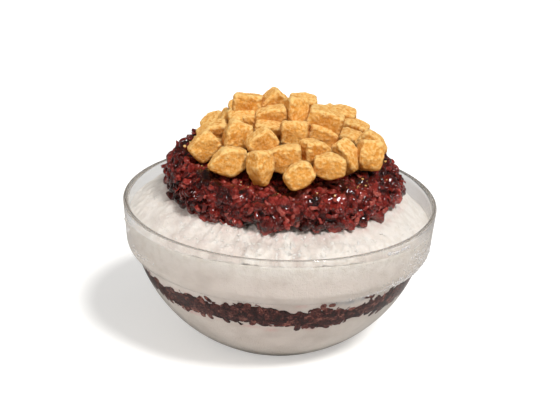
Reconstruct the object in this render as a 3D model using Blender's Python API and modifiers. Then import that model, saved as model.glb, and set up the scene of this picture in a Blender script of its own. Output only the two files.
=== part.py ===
"""Bingsu: milk ice and sweet red beans in a glass bowl, under a heap of powdered rice cakes.

Metres, +Z up. The origin is the middle of the bowl's flat base. Each layer of the food is a solid
that fills the bowl from wall to wall, and each rice cake is a solid of its own.
"""

import math
import random

import bmesh
import bpy
import numpy as np
from mathutils import Euler, Vector, noise

MM = 0.001

# Bowl: a broad band above a body that is a slice of a sphere
RIM_RADIUS = 85.0 * MM
BOWL_HEIGHT = 77.5 * MM
WALL = 3.0 * MM
BODY_RADIUS = 81.1 * MM
BODY_CENTRE_Z = BOWL_HEIGHT - 4.9 * MM
BAND_HEIGHT = 27.8 * MM
BAND_TAPER = 2.0 * MM
BAND_CORNER = 6.8 * MM
BASE_RADIUS = 36.4 * MM
FLOOR_THICKNESS = 5.0 * MM

# Layers in the bowl: heights above the table, and how far the edges of the beans wander
GAP = 0.35 * MM
BEAN_LAYER_BOTTOM = 35.0 * MM
BEAN_LAYER_TOP = 45.6 * MM
BOTTOM_WANDER = 3.0 * MM
TOP_WANDER = 4.6 * MM
STILL_BELOW = 22.0 * MM

# Ice over the rim: a dome under the beans and a slope that falls to the glass
MOUND_TOP_ABOVE_RIM = 14.0 * MM
SLOPE_END_RADIUS = 79.0 * MM
SLOPE_END_BELOW_RIM = 6.2 * MM
ICE_EDGE_BELOW_RIM = 8.0 * MM
ICE_HILL = 1.1 * MM
ICE_HILLS_PER_METRE = 70.0

# Beans on top: foot, belly, shoulder and crown, a little higher on one side
CAP_FOOT_RADIUS = 62.0 * MM
CAP_FOOT_ABOVE_RIM = 6.0 * MM
CAP_BELLY_RADIUS = 64.8 * MM
CAP_BELLY_HEIGHT = 0.22
CAP_SHOULDER_RADIUS = 54.0 * MM
CAP_SHOULDER_ABOVE_RIM = 24.6 * MM
CAP_CROWN = 2.0 * MM
CAP_CROWN_RADIUS = 48.0 * MM
CAP_LUMP = 5.0 * MM
CAP_LUMPS_PER_METRE = 60.0
CAP_LEAN = 3.6 * MM
CAP_LEAN_TOWARDS = math.radians(155.0)

# Rice cakes: rings of (count, radius, lift over the beans, lean outwards), two of them a second layer
CAKE_SIDE = 13.0 * MM
CAKE_LENGTH = 16.8 * MM
CAKE_RINGS = (
    (15, 45.0 * MM, 7 * MM, math.radians(12)),
    (10, 31.0 * MM, 7 * MM, math.radians(20)),
    (5, 16.0 * MM, 7 * MM, math.radians(10)),
    (1, 0.0 * MM, 7 * MM, 0.0),
    (7, 21.0 * MM, 15 * MM, math.radians(26)),
    (3, 8.0 * MM, 17 * MM, math.radians(8)),
)
CAKE_ROUNDING = (3.0 * MM, 4.2 * MM)
CAKE_GAP = 0.4 * MM
HEAP_SHIFT = Vector((2.0 * MM, 0.0, 0.0))
SEED = 96

# Settling of the rice cakes: all rounds, the last ones without sinking, and the first round's sinking
SETTLE_ROUNDS = 420
QUIET_ROUNDS = 140
SINK = 0.5 * MM
PULL_IN = 0.004
NEIGHBOUR_REACH = 27.0 * MM

TURN_STEPS = 40
CAP_TURN_STEPS = 60
DOME_SHARES = (0.0, 0.39, 0.71, 1.0)
STEP_Z = BOWL_HEIGHT - BAND_HEIGHT
BODY_INNER_RADIUS = BODY_RADIUS - WALL - 0.2 * MM


def material(name, colour, roughness, transmission=0.0):
    """A plain Principled finish."""
    made = bpy.data.materials.new(name)
    made.use_nodes = True
    shader = made.node_tree.nodes["Principled BSDF"]
    shader.inputs["Base Color"].default_value = (*colour, 1.0)
    shader.inputs["Roughness"].default_value = roughness
    shader.inputs["Metallic"].default_value = 0.0
    shader.inputs["Transmission Weight"].default_value = transmission
    made.diffuse_color = (*colour, 1.0)
    return made


def arc(centre_r, centre_z, radius, start, end, steps):
    """Points (r, z) along an arc, its angles in degrees from the outward direction."""
    points = []
    for k in range(steps + 1):
        angle = math.radians(start + (end - start) * k / steps)
        points.append((centre_r + radius * math.cos(angle), centre_z + radius * math.sin(angle)))
    return points


def body_arc(radius, high, low, steps):
    """Points down the spherical body between two heights, for a sphere of this radius."""
    start = math.degrees(math.asin((high - BODY_CENTRE_Z) / radius))
    end = math.degrees(math.asin((low - BODY_CENTRE_Z) / radius))
    return arc(0.0, BODY_CENTRE_Z, radius, start, end, steps)


def inner_outline():
    """The bowl's inside from the middle of its floor up to the lip."""
    corner_r = RIM_RADIUS - BAND_TAPER - BAND_CORNER
    corner_z = STEP_Z + BAND_CORNER
    floor = [(0.0, FLOOR_THICKNESS), (38.0 * MM, FLOOR_THICKNESS + 0.4 * MM)]
    body = body_arc(BODY_INNER_RADIUS, 51.2 * MM, 10.5 * MM, 6)[::-1]
    ledge = arc(corner_r, corner_z, BAND_CORNER - WALL, -90.0, 0.0, 2)
    return floor + body + ledge


def outer_outline():
    """The bowl's outside from below the lip down to the edge of its base."""
    corner_r = RIM_RADIUS - BAND_TAPER - BAND_CORNER
    corner_z = STEP_Z + BAND_CORNER
    corner = arc(corner_r, corner_z, BAND_CORNER, 0.0, -72.0, 3)
    body = body_arc(BODY_RADIUS, STEP_Z - 0.4 * MM, 1.6 * MM, 6)
    return corner + body + [(BASE_RADIUS, 0.0)]


def lip():
    """The rounded top edge, from the inside over to the outside."""
    half = WALL / 2
    return arc(RIM_RADIUS - half, BOWL_HEIGHT - half, half, 180.0, 0.0, 4)


def inset(outline, distance):
    """The outline moved into the bowl by a distance, square to its own direction."""
    moved = []
    for k, (r, z) in enumerate(outline):
        ahead = outline[min(k + 1, len(outline) - 1)]
        behind = outline[max(k - 1, 0)]
        along = Vector((ahead[0] - behind[0], ahead[1] - behind[1])).normalized()
        moved.append((max(r - along.y * distance, 0.0), z + along.x * distance))
    return moved


FOOD_WALL = inset(inner_outline() + lip()[:1], GAP)


def wall_radius(z):
    """How far out the food reaches at a height: to just short of the glass."""
    return float(np.interp(z, [p[1] for p in FOOD_WALL], [p[0] for p in FOOD_WALL]))


def wall_between(high, low):
    """The food's wall from one height down to another, with each bend of the glass between."""
    bends = [p for p in reversed(FOOD_WALL) if low + 0.5 * MM < p[1] < high - 0.5 * MM]
    return [(wall_radius(high), high), *bends, (wall_radius(low), low)]


def turned(name, outline, finish, steps=TURN_STEPS):
    """A solid turned from an outline that starts and ends on the axis, outside running down."""
    mesh = bpy.data.meshes.new(name)
    points = [(r, 0.0, z) for r, z in outline]
    mesh.from_pydata(points, [(k, k + 1) for k in range(len(points) - 1)], [])
    obj = bpy.data.objects.new(name, mesh)
    PARTS.objects.link(obj)
    turn = obj.modifiers.new("turn", "SCREW")
    turn.angle = math.tau
    turn.steps = steps
    turn.render_steps = steps
    turn.use_merge_vertices = True
    turn.merge_threshold = 0.01 * MM
    graph = bpy.context.evaluated_depsgraph_get()
    obj.data = bpy.data.meshes.new_from_object(obj.evaluated_get(graph))
    obj.data.name = name
    obj.modifiers.clear()
    obj.data.materials.append(finish)
    return obj


def round_wave(angle, waves, seed):
    """A value from -1 to 1 that wanders as it goes once round the bowl."""
    reach = waves / math.tau
    return noise.noise(Vector((reach * math.cos(angle), reach * math.sin(angle), seed)))


def layer_shift(angle, z):
    """How far the uneven spreading of the bean layer lifts the food at this place on the wall."""
    bottom = BOTTOM_WANDER * round_wave(angle, 17.0, 3.3)
    top = TOP_WANDER * round_wave(angle, 19.0, 8.1)
    levels = (STILL_BELOW, BEAN_LAYER_BOTTOM, BEAN_LAYER_TOP, STEP_Z)
    return float(np.interp(z, levels, (0.0, bottom, top, 0.0)))


def wave_layers(obj):
    """Moves the layer's edges up and down the glass, and nothing on the axis."""
    for vertex in obj.data.vertices:
        r = math.hypot(vertex.co.x, vertex.co.y)
        z = vertex.co.z
        if r < MM or z > STEP_Z:
            continue
        angle = math.atan2(vertex.co.y, vertex.co.x)
        on_wall = abs(r - wall_radius(z)) < 0.01 * MM
        raised = z + layer_shift(angle, z)
        stretch = wall_radius(raised) / r if on_wall else 1.0
        vertex.co = (vertex.co.x * stretch, vertex.co.y * stretch, raised)


def mound_outline():
    """Points (r, height over the rim) of the ice's top, from the middle out."""
    dome_drop = MOUND_TOP_ABOVE_RIM - CAP_FOOT_ABOVE_RIM
    slope_drop = CAP_FOOT_ABOVE_RIM + SLOPE_END_BELOW_RIM
    points = []
    for share in DOME_SHARES:
        points.append((share * CAP_FOOT_RADIUS, MOUND_TOP_ABOVE_RIM - dome_drop * share**2))
    for share in (0.26, 0.53, 0.79, 1.0):
        r = CAP_FOOT_RADIUS + share * (SLOPE_END_RADIUS - CAP_FOOT_RADIUS)
        points.append((r, CAP_FOOT_ABOVE_RIM - slope_drop * share**1.25))
    return points


def mound_height(r):
    """The height of the ice's top over the rim."""
    points = mound_outline()
    return float(np.interp(r, [p[0] for p in points], [p[1] for p in points]))


def roughen_mound(obj):
    """Small hills on the ice that shows between the beans and the glass."""
    for vertex in obj.data.vertices:
        r = math.hypot(vertex.co.x, vertex.co.y)
        on_top = vertex.co.z > BOWL_HEIGHT - ICE_EDGE_BELOW_RIM
        if on_top and CAP_FOOT_RADIUS + 2 * MM < r < SLOPE_END_RADIUS - 2 * MM:
            vertex.co.z += ICE_HILL * noise.noise(vertex.co * ICE_HILLS_PER_METRE)


def crown_rise(r):
    """How far the domed middle of the beans stands over their shoulder."""
    share = np.clip(r / CAP_CROWN_RADIUS, 0.0, 1.0)
    return CAP_CROWN * (1.0 - share * share)


def shoulder_lean(x, y):
    """The shoulder is heaped higher on one side and lower on the other."""
    out = np.clip((np.hypot(x, y) - CAP_CROWN_RADIUS) / (9 * MM), 0.0, 1.0)
    return CAP_LEAN * out * np.cos(np.arctan2(y, x) - CAP_LEAN_TOWARDS)


def cap_top(x, y):
    """The height of the beans' top over the table."""
    shoulder = BOWL_HEIGHT + CAP_SHOULDER_ABOVE_RIM
    return shoulder + crown_rise(np.hypot(x, y)) + shoulder_lean(x, y)


def cap_outline():
    """The heap of beans: crown, shoulder, bulging side and the underside that lies on the ice."""
    foot = BOWL_HEIGHT + CAP_FOOT_ABOVE_RIM
    shoulder = BOWL_HEIGHT + CAP_SHOULDER_ABOVE_RIM
    rise = shoulder - foot
    belly = CAP_BELLY_RADIUS - CAP_SHOULDER_RADIUS
    crown = []
    for share in (0.0, 0.25, 0.5, 0.75, 1.0):
        r = share * CAP_CROWN_RADIUS
        crown.append((r, shoulder + crown_rise(r)))
    side = []
    for angle in (78, 58, 38, 18, -2):
        turn = math.radians(angle)
        height = CAP_BELLY_HEIGHT + (1.0 - CAP_BELLY_HEIGHT) * math.sin(turn)
        side.append((CAP_SHOULDER_RADIUS + belly * math.cos(turn), foot + rise * height))
    under = []
    for share in reversed(DOME_SHARES):
        r = share * CAP_FOOT_RADIUS
        under.append((r, BOWL_HEIGHT + mound_height(r) + GAP))
    return crown + side + under


def roughen_cap(obj):
    """Lumps of whole and broken beans down the side, only sunken ones where rice cakes may lie."""
    rng = random.Random(SEED)
    foot = BOWL_HEIGHT + CAP_FOOT_ABOVE_RIM
    shoulder = BOWL_HEIGHT + CAP_SHOULDER_ABOVE_RIM
    for vertex in obj.data.vertices:
        x, y, z = vertex.co
        r = math.hypot(x, y)
        if z < BOWL_HEIGHT + mound_height(r) + 2 * GAP:
            continue
        height = (z - foot) / (shoulder - foot)
        if r > CAP_CROWN_RADIUS:
            wave = noise.noise(vertex.co * CAP_LUMPS_PER_METRE)
            lump = CAP_LUMP * (0.6 * wave + rng.uniform(-0.3, 0.3))
            if height > 0.8:
                lump = min(lump, 0.0)
            vertex.co += Vector((x, y, 0.5 * r)).normalized() * lump
            vertex.co.z += float(shoulder_lean(x, y)) * height
        vertex.co += HEAP_SHIFT


def flat_shaded(mesh):
    """Smooth where the surface bends gently, sharp at the edges."""
    mesh.shade_smooth()
    mesh.set_sharp_from_angle(angle=math.radians(38))


def cake_mesh(name, rng):
    """One rice cake: a soft block with rounded edges, cut a little crooked and pinched at one end."""
    half = Vector(
        (
            CAKE_SIDE / 2 * rng.uniform(0.93, 1.06),
            CAKE_SIDE / 2 * rng.uniform(0.92, 1.05),
            CAKE_LENGTH / 2 * rng.uniform(0.9, 1.12),
        )
    )
    shape = bmesh.new()
    bmesh.ops.create_cube(shape, size=2.0)
    bmesh.ops.scale(shape, vec=half, verts=shape.verts)
    bmesh.ops.bevel(
        shape,
        geom=shape.verts[:] + shape.edges[:],
        offset=rng.uniform(*CAKE_ROUNDING),
        segments=2,
        profile=0.5,
        affect="EDGES",
    )
    taper = rng.uniform(-0.1, 0.1)
    pinches = (rng.choice((0.05, 0.15, 0.3, 0.45)), rng.choice((0.05, 0.1, 0.25, 0.4)))
    crossed = rng.random() < 0.4
    lean_x = rng.uniform(-0.2, 0.2)
    lean_y = rng.uniform(-0.15, 0.15)
    for vertex in shape.verts:
        along = vertex.co.z / half.z
        pinch = pinches[along > 0] * along * along
        narrowed = 1 if crossed and along > 0 else 0
        vertex.co[narrowed] *= 1.0 - pinch
        vertex.co[1 - narrowed] *= 1.0 + taper * along
        vertex.co.x += lean_x * along * half.x
        vertex.co.y += lean_y * along * half.y
    hulled = bmesh.new()
    for vertex in shape.verts:
        hulled.verts.new(vertex.co)
    shape.free()
    hull = bmesh.ops.convex_hull(hulled, input=hulled.verts)
    loose = [v for v in hull["geom_interior"] if isinstance(v, bmesh.types.BMVert)]
    bmesh.ops.delete(hulled, geom=loose, context="VERTS")
    bmesh.ops.recalc_face_normals(hulled, faces=hulled.faces)
    mesh = bpy.data.meshes.new(name)
    hulled.to_mesh(mesh)
    hulled.free()
    return mesh


def cake_turn(rng, angle, lean):
    """How a rice cake lies on a slope: most on a long face, some up on an edge."""
    on_side = rng.choice((0.0, 90.0, 90.0, 90.0))
    tip = rng.choice((5.0, 8.0, 14.0, 32.0))
    roll = math.radians(on_side + rng.uniform(-tip, tip))
    pitch = math.radians(rng.uniform(-tip, tip))
    tilt = Euler((roll, pitch, 0.0))
    spin = Euler((0.0, 0.0, rng.uniform(0.0, math.tau)))
    lie = Euler((0.0, lean, angle))
    return lie.to_matrix() @ spin.to_matrix() @ tilt.to_matrix()


def dropped_cakes(rng):
    """Where each rice cake is dropped and how it is turned, ring by ring."""
    places = []
    turns = []
    for ring, (count, radius, lift, lean) in enumerate(CAKE_RINGS):
        for k in range(count):
            angle = math.tau * (k + 0.37 * ring + rng.uniform(-0.12, 0.12)) / count
            reach = radius + rng.uniform(-1.2, 1.2) * MM
            x = reach * math.cos(angle)
            y = reach * math.sin(angle)
            places.append((x, y, cap_top(x, y) + lift))
            turns.append(cake_turn(rng, angle, lean))
    return np.array(places), turns


def block_directions(turn):
    """The directions in which two tilted blocks can be told apart: faces, edges and corners."""
    found = []
    for x in (-1, 0, 1):
        for y in (-1, 0, 1):
            for z in (-1, 0, 1):
                if (x, y, z) > (0, 0, 0):
                    found.append(turn @ Vector((x, y, z)).normalized())
    return np.array(found)


def clearances(corners, axes, places, pairs):
    """For each pair, the widest gap between the two blocks and the direction it is measured in."""
    first, second = pairs
    between = places[second] - places[first]
    between /= np.linalg.norm(between, axis=1)[:, None]
    lines = np.concatenate([axes[first], axes[second], between[:, None, :]], axis=1)
    facing = np.einsum("pak,pk->pa", lines, between)
    lines = lines * np.where(facing < 0, -1.0, 1.0)[:, :, None]
    reach = np.einsum("pak,pvk->pav", lines, corners[first]).max(axis=2)
    reach += np.einsum("pak,pk->pa", lines, places[first])
    near = np.einsum("pak,pvk->pav", lines, corners[second]).min(axis=2)
    near += np.einsum("pak,pk->pa", lines, places[second])
    gaps = near - reach
    best = gaps.argmax(axis=1)
    rows = np.arange(len(best))
    return gaps[rows, best], lines[rows, best]


def cake_corners(meshes, turns):
    """Every turned cake's corners in one array, short lists filled up with their first corner."""
    most = max(len(mesh.vertices) for mesh in meshes)
    corners = np.zeros((len(meshes), most, 3))
    for k, (mesh, turn) in enumerate(zip(meshes, turns)):
        points = [turn @ vertex.co for vertex in mesh.vertices]
        corners[k] = np.array(points + [points[0]] * (most - len(points)))
    return corners


def settle(corners, axes, places):
    """Lets the rice cakes sink onto the beans and each other until none overlap."""
    for step in range(SETTLE_ROUNDS):
        sinking = step < SETTLE_ROUNDS - QUIET_ROUNDS
        if sinking:
            places[:, 2] -= SINK * (1.0 - step / SETTLE_ROUNDS)
            places[:, :2] *= 1.0 - PULL_IN
        apart = np.linalg.norm(places[:, None] - places[None], axis=2)
        pairs = np.nonzero(np.triu(apart < NEIGHBOUR_REACH, 1))
        gaps, lines = clearances(corners, axes, places, pairs)
        push = np.clip(CAKE_GAP - gaps, 0.0, None)
        move = np.zeros_like(places)
        for side, sign in zip(pairs, (-0.5, 0.5)):
            np.add.at(move, side, lines * (push * sign)[:, None])
        places = places + move * (0.55 if sinking else 0.8)
        whole = corners + places[:, None, :]
        beans = cap_top(whole[..., 0], whole[..., 1])
        short = beans + GAP + 0.1 * MM - whole[..., 2]
        places[:, 2] += np.clip(short.max(axis=1), 0.0, None)
    return places


def rice_cakes(finish):
    """The heap of rice cakes on the beans."""
    rng = random.Random(SEED)
    places, turns = dropped_cakes(rng)
    meshes = [cake_mesh(f"rice_cake_{k + 1:02d}", rng) for k in range(len(places))]
    corners = cake_corners(meshes, turns)
    axes = np.array([block_directions(turn) for turn in turns])
    places = settle(corners, axes, places)
    for mesh, turn, place in zip(meshes, turns, places):
        flat_shaded(mesh)
        mesh.materials.append(finish)
        cake = bpy.data.objects.new(mesh.name, mesh)
        cake.matrix_world = turn.to_4x4()
        cake.location = Vector(place) + HEAP_SHIFT
        PARTS.objects.link(cake)


def bowl(finish):
    """The glass: one wall from the floor over the lip to the flat base."""
    outline = inner_outline() + lip() + outer_outline() + [(0.0, 0.0)]
    flat_shaded(turned("bowl", outline, finish).data)


def ice_base(finish):
    """The ice under the bean layer, down to the bowl's floor."""
    top = BEAN_LAYER_BOTTOM - GAP / 2
    floor = [p for p in reversed(FOOD_WALL) if p[1] < 8 * MM]
    wall = wall_between(top, 9.0 * MM)
    obj = turned("ice_base", [(0.0, top), *wall, *floor], finish)
    wave_layers(obj)
    flat_shaded(obj.data)


def bean_layer(finish):
    """The band of beans between the two ices."""
    top = BEAN_LAYER_TOP - GAP / 2
    bottom = BEAN_LAYER_BOTTOM + GAP / 2
    wall = wall_between(top, bottom)
    obj = turned("bean_layer", [(0.0, top), *wall, (0.0, bottom)], finish)
    wave_layers(obj)
    flat_shaded(obj.data)


def ice_mound(finish):
    """The ice above the bean layer, heaped over the rim."""
    edge = BOWL_HEIGHT - ICE_EDGE_BELOW_RIM
    bottom = BEAN_LAYER_TOP + GAP / 2
    top = [(r, BOWL_HEIGHT + height) for r, height in mound_outline()]
    wall = wall_between(edge, bottom)
    obj = turned("ice_mound", [*top, *wall, (0.0, bottom)], finish)
    wave_layers(obj)
    roughen_mound(obj)
    flat_shaded(obj.data)


def bean_cap(finish):
    """The beans heaped on the ice."""
    obj = turned("bean_cap", cap_outline(), finish, CAP_TURN_STEPS)
    roughen_cap(obj)
    flat_shaded(obj.data)


def clear_scene():
    for obj in list(bpy.data.objects):
        bpy.data.objects.remove(obj)


clear_scene()
PARTS = bpy.data.collections.new("bingsu")
bpy.context.scene.collection.children.link(PARTS)
GLASS = material("clear_glass", (0.95, 0.96, 0.96), 0.03, 1.0)
ICE = material("milk_ice", (0.93, 0.92, 0.89), 0.7)
BEANS = material("red_beans", (0.13, 0.022, 0.02), 0.3)
CAKE = material("soybean_powder", (0.82, 0.52, 0.2), 0.85)
bowl(GLASS)
ice_base(ICE)
bean_layer(BEANS)
ice_mound(ICE)
bean_cap(BEANS)
rice_cakes(CAKE)
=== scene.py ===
# %% [markdown]
# # Bingsu in a glass bowl
# Shaved milk ice fills a clear glass bowl, with a layer of sweet red beans in it, a cap of the same beans on
# top, and a heap of rice cakes rolled in roasted soybean powder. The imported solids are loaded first. They give
# the sizes and places, and each finer piece made below stands for one of them.

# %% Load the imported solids
import math

import bpy
import numpy as np
from mathutils import Matrix, Vector, noise
from mathutils.bvhtree import BVHTree


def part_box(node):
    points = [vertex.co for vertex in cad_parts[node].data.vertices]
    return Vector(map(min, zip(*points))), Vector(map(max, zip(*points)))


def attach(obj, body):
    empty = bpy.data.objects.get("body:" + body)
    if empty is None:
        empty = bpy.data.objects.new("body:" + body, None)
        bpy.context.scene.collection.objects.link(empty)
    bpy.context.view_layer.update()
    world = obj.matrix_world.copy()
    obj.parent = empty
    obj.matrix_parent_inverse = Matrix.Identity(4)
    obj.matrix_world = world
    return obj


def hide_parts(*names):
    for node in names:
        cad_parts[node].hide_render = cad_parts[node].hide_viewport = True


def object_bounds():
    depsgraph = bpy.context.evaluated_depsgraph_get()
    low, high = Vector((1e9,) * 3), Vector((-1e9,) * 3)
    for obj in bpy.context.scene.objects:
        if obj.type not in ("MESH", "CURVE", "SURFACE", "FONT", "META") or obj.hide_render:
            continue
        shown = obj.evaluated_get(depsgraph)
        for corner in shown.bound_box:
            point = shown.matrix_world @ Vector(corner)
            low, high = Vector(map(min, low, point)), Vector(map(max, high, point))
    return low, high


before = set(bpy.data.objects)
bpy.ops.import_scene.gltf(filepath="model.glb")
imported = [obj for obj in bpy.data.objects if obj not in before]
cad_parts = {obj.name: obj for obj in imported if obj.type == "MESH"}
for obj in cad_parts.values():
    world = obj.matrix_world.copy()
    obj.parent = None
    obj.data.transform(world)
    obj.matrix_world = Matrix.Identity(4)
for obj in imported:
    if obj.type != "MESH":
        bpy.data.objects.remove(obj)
cad_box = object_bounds()
CAKE_NODES = sorted(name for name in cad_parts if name.startswith("rice_cake"))
print(f"{len(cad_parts)} solids, {len(CAKE_NODES)} of them rice cakes")

# %% [markdown]
# ## The bowl's sizes
# The bowl is a broad band over a round body. The rim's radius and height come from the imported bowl, and the
# rest are the same named sizes that the solid was made from, so that the fine outline lies on the plain one.

# %% Sizes of the bowl
MM = 0.001
RIM_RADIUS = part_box("bowl")[1][0]
RIM_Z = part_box("bowl")[1][2]
WALL = 3.0 * MM
BODY_RADIUS = 81.1 * MM
BODY_INNER_RADIUS = BODY_RADIUS - WALL - 0.2 * MM
BODY_CENTRE_Z = RIM_Z - 4.9 * MM
BAND_HEIGHT = 27.8 * MM
BAND_TAPER = 2.0 * MM
BAND_CORNER = 6.8 * MM
BASE_RADIUS = 36.4 * MM
FLOOR_THICKNESS = 5.0 * MM
STEP_Z = RIM_Z - BAND_HEIGHT
CORNER_R = RIM_RADIUS - BAND_TAPER - BAND_CORNER
CORNER_Z = STEP_Z + BAND_CORNER
print(f"rim radius {RIM_RADIUS / MM:.1f} mm, rim height {RIM_Z / MM:.1f} mm")

# %% [markdown]
# ## Outlines
# A turned shape is drawn as half a section: points of (radius, height). Round stretches are arcs, and the
# corners where two stretches meet are softened by cutting them, because pressed glass has no sharp corner.


# %% Outline helpers
def arc(centre_r, centre_z, radius, start, end, steps):
    """Points along an arc, its angles in degrees from the outward direction."""
    angles = np.radians(np.linspace(start, end, steps + 1))
    return [(centre_r + radius * math.cos(a), centre_z + radius * math.sin(a)) for a in angles]


def body_arc(radius, high, low, steps):
    """Points down the round body between two heights."""
    start = math.degrees(math.asin((high - BODY_CENTRE_Z) / radius))
    end = math.degrees(math.asin((low - BODY_CENTRE_Z) / radius))
    return arc(0.0, BODY_CENTRE_Z, radius, start, end, steps)


def resampled(outline, step):
    """The same outline with no stretch longer than a step."""
    points = [outline[0]]
    for (r0, z0), (r1, z1) in zip(outline, outline[1:]):
        parts = max(1, math.ceil(math.hypot(r1 - r0, z1 - z0) / step))
        for k in range(1, parts + 1):
            share = k / parts
            points.append((r0 + (r1 - r0) * share, z0 + (z1 - z0) * share))
    return points


def softened(outline):
    """Cuts each corner of an outline at a quarter of its stretches, and keeps the two ends."""
    cut = [outline[0]]
    for (r0, z0), (r1, z1) in zip(outline, outline[1:]):
        cut.append((0.75 * r0 + 0.25 * r1, 0.75 * z0 + 0.25 * z1))
        cut.append((0.25 * r0 + 0.75 * r1, 0.25 * z0 + 0.75 * z1))
    cut.append(outline[-1])
    return cut


def shifted(outline, distance):
    """The outline moved sideways by a distance, square to its own direction."""
    moved = []
    for k, (r, z) in enumerate(outline):
        ahead = outline[min(k + 1, len(outline) - 1)]
        behind = outline[max(k - 1, 0)]
        along = Vector((ahead[0] - behind[0], ahead[1] - behind[1])).normalized()
        moved.append((max(r + along.y * distance, 0.0), z - along.x * distance))
    return moved


# %% The glass's inside and outside
LIP_INSIDE = 1.9 * MM
LIP_OUTSIDE = 1.0 * MM
inside_wall = (
    [(0.0, FLOOR_THICKNESS), (38.0 * MM, FLOOR_THICKNESS + 0.4 * MM)]
    + body_arc(BODY_INNER_RADIUS, 51.2 * MM, 10.5 * MM, 24)[::-1]
    + arc(CORNER_R, CORNER_Z, BAND_CORNER - WALL, -90.0, 0.0, 8)
)
lip = (
    arc(RIM_RADIUS - WALL + LIP_INSIDE, RIM_Z - LIP_INSIDE, LIP_INSIDE, 180.0, 90.0, 8)
    + arc(RIM_RADIUS - LIP_OUTSIDE, RIM_Z - LIP_OUTSIDE, LIP_OUTSIDE, 85.0, 0.0, 5)
)
outside_wall = (
    arc(CORNER_R, CORNER_Z, BAND_CORNER, 0.0, -72.0, 10)
    + body_arc(BODY_RADIUS, STEP_Z - 0.4 * MM, 1.6 * MM, 28)
    + [(BASE_RADIUS, 0.0), (0.0, 0.0)]
)
glass_outline = softened(resampled(inside_wall + lip + outside_wall, 2.4 * MM))
print(f"the glass outline has {len(glass_outline)} points")

# %% [markdown]
# ## Modelling helpers
# Operators act on everything that is selected, so each step starts by selecting one object alone. A turned
# piece starts as a small plane merged to a single point, which is extruded along the outline and then spun
# round the bowl's axis. After a spin the doubled points are merged and the normals are made to point outwards.


# %% Helpers: one object at a time
def only(piece):
    """Selects this object and nothing else."""
    bpy.ops.object.select_all(action="DESELECT")
    piece.select_set(True)
    bpy.context.view_layer.objects.active = piece


def named(name):
    """Names the object that an operator has just added, and its mesh."""
    piece = bpy.context.object
    piece.name = name
    piece.data.name = name
    return piece


def spun(name, outline, steps):
    """Extrudes a point along an outline and spins the line once round."""
    bpy.ops.object.select_all(action="DESELECT")
    r, z = outline[0]
    bpy.ops.mesh.primitive_plane_add(size=MM, location=(r, 0.0, z))
    piece = named(name)
    bpy.ops.object.transform_apply(location=True, rotation=True, scale=True)
    bpy.ops.object.mode_set(mode="EDIT")
    bpy.ops.mesh.select_all(action="SELECT")
    bpy.ops.mesh.merge(type="CENTER")
    for (r0, z0), (r1, z1) in zip(outline, outline[1:]):
        move = {"value": (r1 - r0, 0.0, z1 - z0)}
        bpy.ops.mesh.extrude_region_move(TRANSFORM_OT_translate=move)
    bpy.ops.mesh.select_all(action="SELECT")
    bpy.ops.mesh.spin(steps=steps, angle=math.tau, center=(0.0, 0.0, 0.0), axis=(0.0, 0.0, 1.0))
    bpy.ops.mesh.select_all(action="SELECT")
    bpy.ops.mesh.remove_doubles(threshold=0.005 * MM)
    bpy.ops.mesh.normals_make_consistent(inside=False)
    bpy.ops.object.mode_set(mode="OBJECT")
    bpy.ops.object.shade_smooth()
    return piece


def get_points(piece):
    """The mesh's points as an array of rows."""
    points = np.empty(len(piece.data.vertices) * 3)
    piece.data.vertices.foreach_get("co", points)
    return points.reshape(-1, 3)


def set_points(piece, points):
    """Moves the mesh's points to these rows."""
    piece.data.vertices.foreach_set("co", np.asarray(points, dtype=float).ravel())
    piece.data.update()


def apply_modifier(piece, name, kind, **settings):
    """Adds a modifier, sets it and applies it."""
    only(piece)
    modifier = piece.modifiers.new(name, kind)
    for key, value in settings.items():
        setattr(modifier, key, value)
    bpy.ops.object.modifier_apply(modifier=name)


def cloud(name, size, depth=2):
    """A soft cloud texture whose lumps have about this size."""
    texture = bpy.data.textures.new(name, "CLOUDS")
    texture.noise_scale = size
    texture.noise_depth = depth
    return texture


def dressed(piece, slot, finish, *nodes):
    """Gives a piece its material and its body, and hides the solids it stands for; the slot is not used."""
    piece.data.materials.clear()
    piece.data.materials.append(finish)
    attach(piece, "root")
    if nodes:
        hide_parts(*nodes)
    return piece


# %% [markdown]
# ## Material helpers
# Each finish is a node tree of its own. What several finishes share is a node group: one that blends two
# colours in patches of a chosen size, and one that makes a grainy normal. Groups give out only colours, values
# and normals, and each shader stays in its own material.


# %% Helpers for node trees
def add(tree, kind, at=(0, 0), **inputs):
    """Adds a node and sets the inputs that are named."""
    node = tree.nodes.new(kind)
    node.location = at
    for key, value in inputs.items():
        node.inputs[key.replace("_", " ")].default_value = value
    return node


def new_group(name, inputs, outputs):
    """An empty node group with named sockets: (name, kind, start value)."""
    tree = bpy.data.node_groups.new(name, "ShaderNodeTree")
    for label, kind, start in inputs:
        socket = tree.interface.new_socket(label, in_out="INPUT", socket_type=kind)
        socket.default_value = start
    for label, kind in outputs:
        tree.interface.new_socket(label, in_out="OUTPUT", socket_type=kind)
    entry = add(tree, "NodeGroupInput", (-900, 0))
    exit_ = add(tree, "NodeGroupOutput", (500, 0))
    return tree, entry, exit_


def use_group(tree, group, at, **inputs):
    """Places a node group in a material with its own values."""
    node = tree.nodes.new("ShaderNodeGroup")
    node.node_tree = group
    node.location = at
    for key, value in inputs.items():
        node.inputs[key.replace("_", " ")].default_value = value
    return node


def new_finish(name, **inputs):
    """A material with a Principled BSDF, and the inputs that are the same all over."""
    finish = bpy.data.materials.new(name)
    finish.use_nodes = True
    shader = finish.node_tree.nodes["Principled BSDF"]
    for key, value in inputs.items():
        shader.inputs[key.replace("_", " ")].default_value = value
    return finish, finish.node_tree, shader


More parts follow.
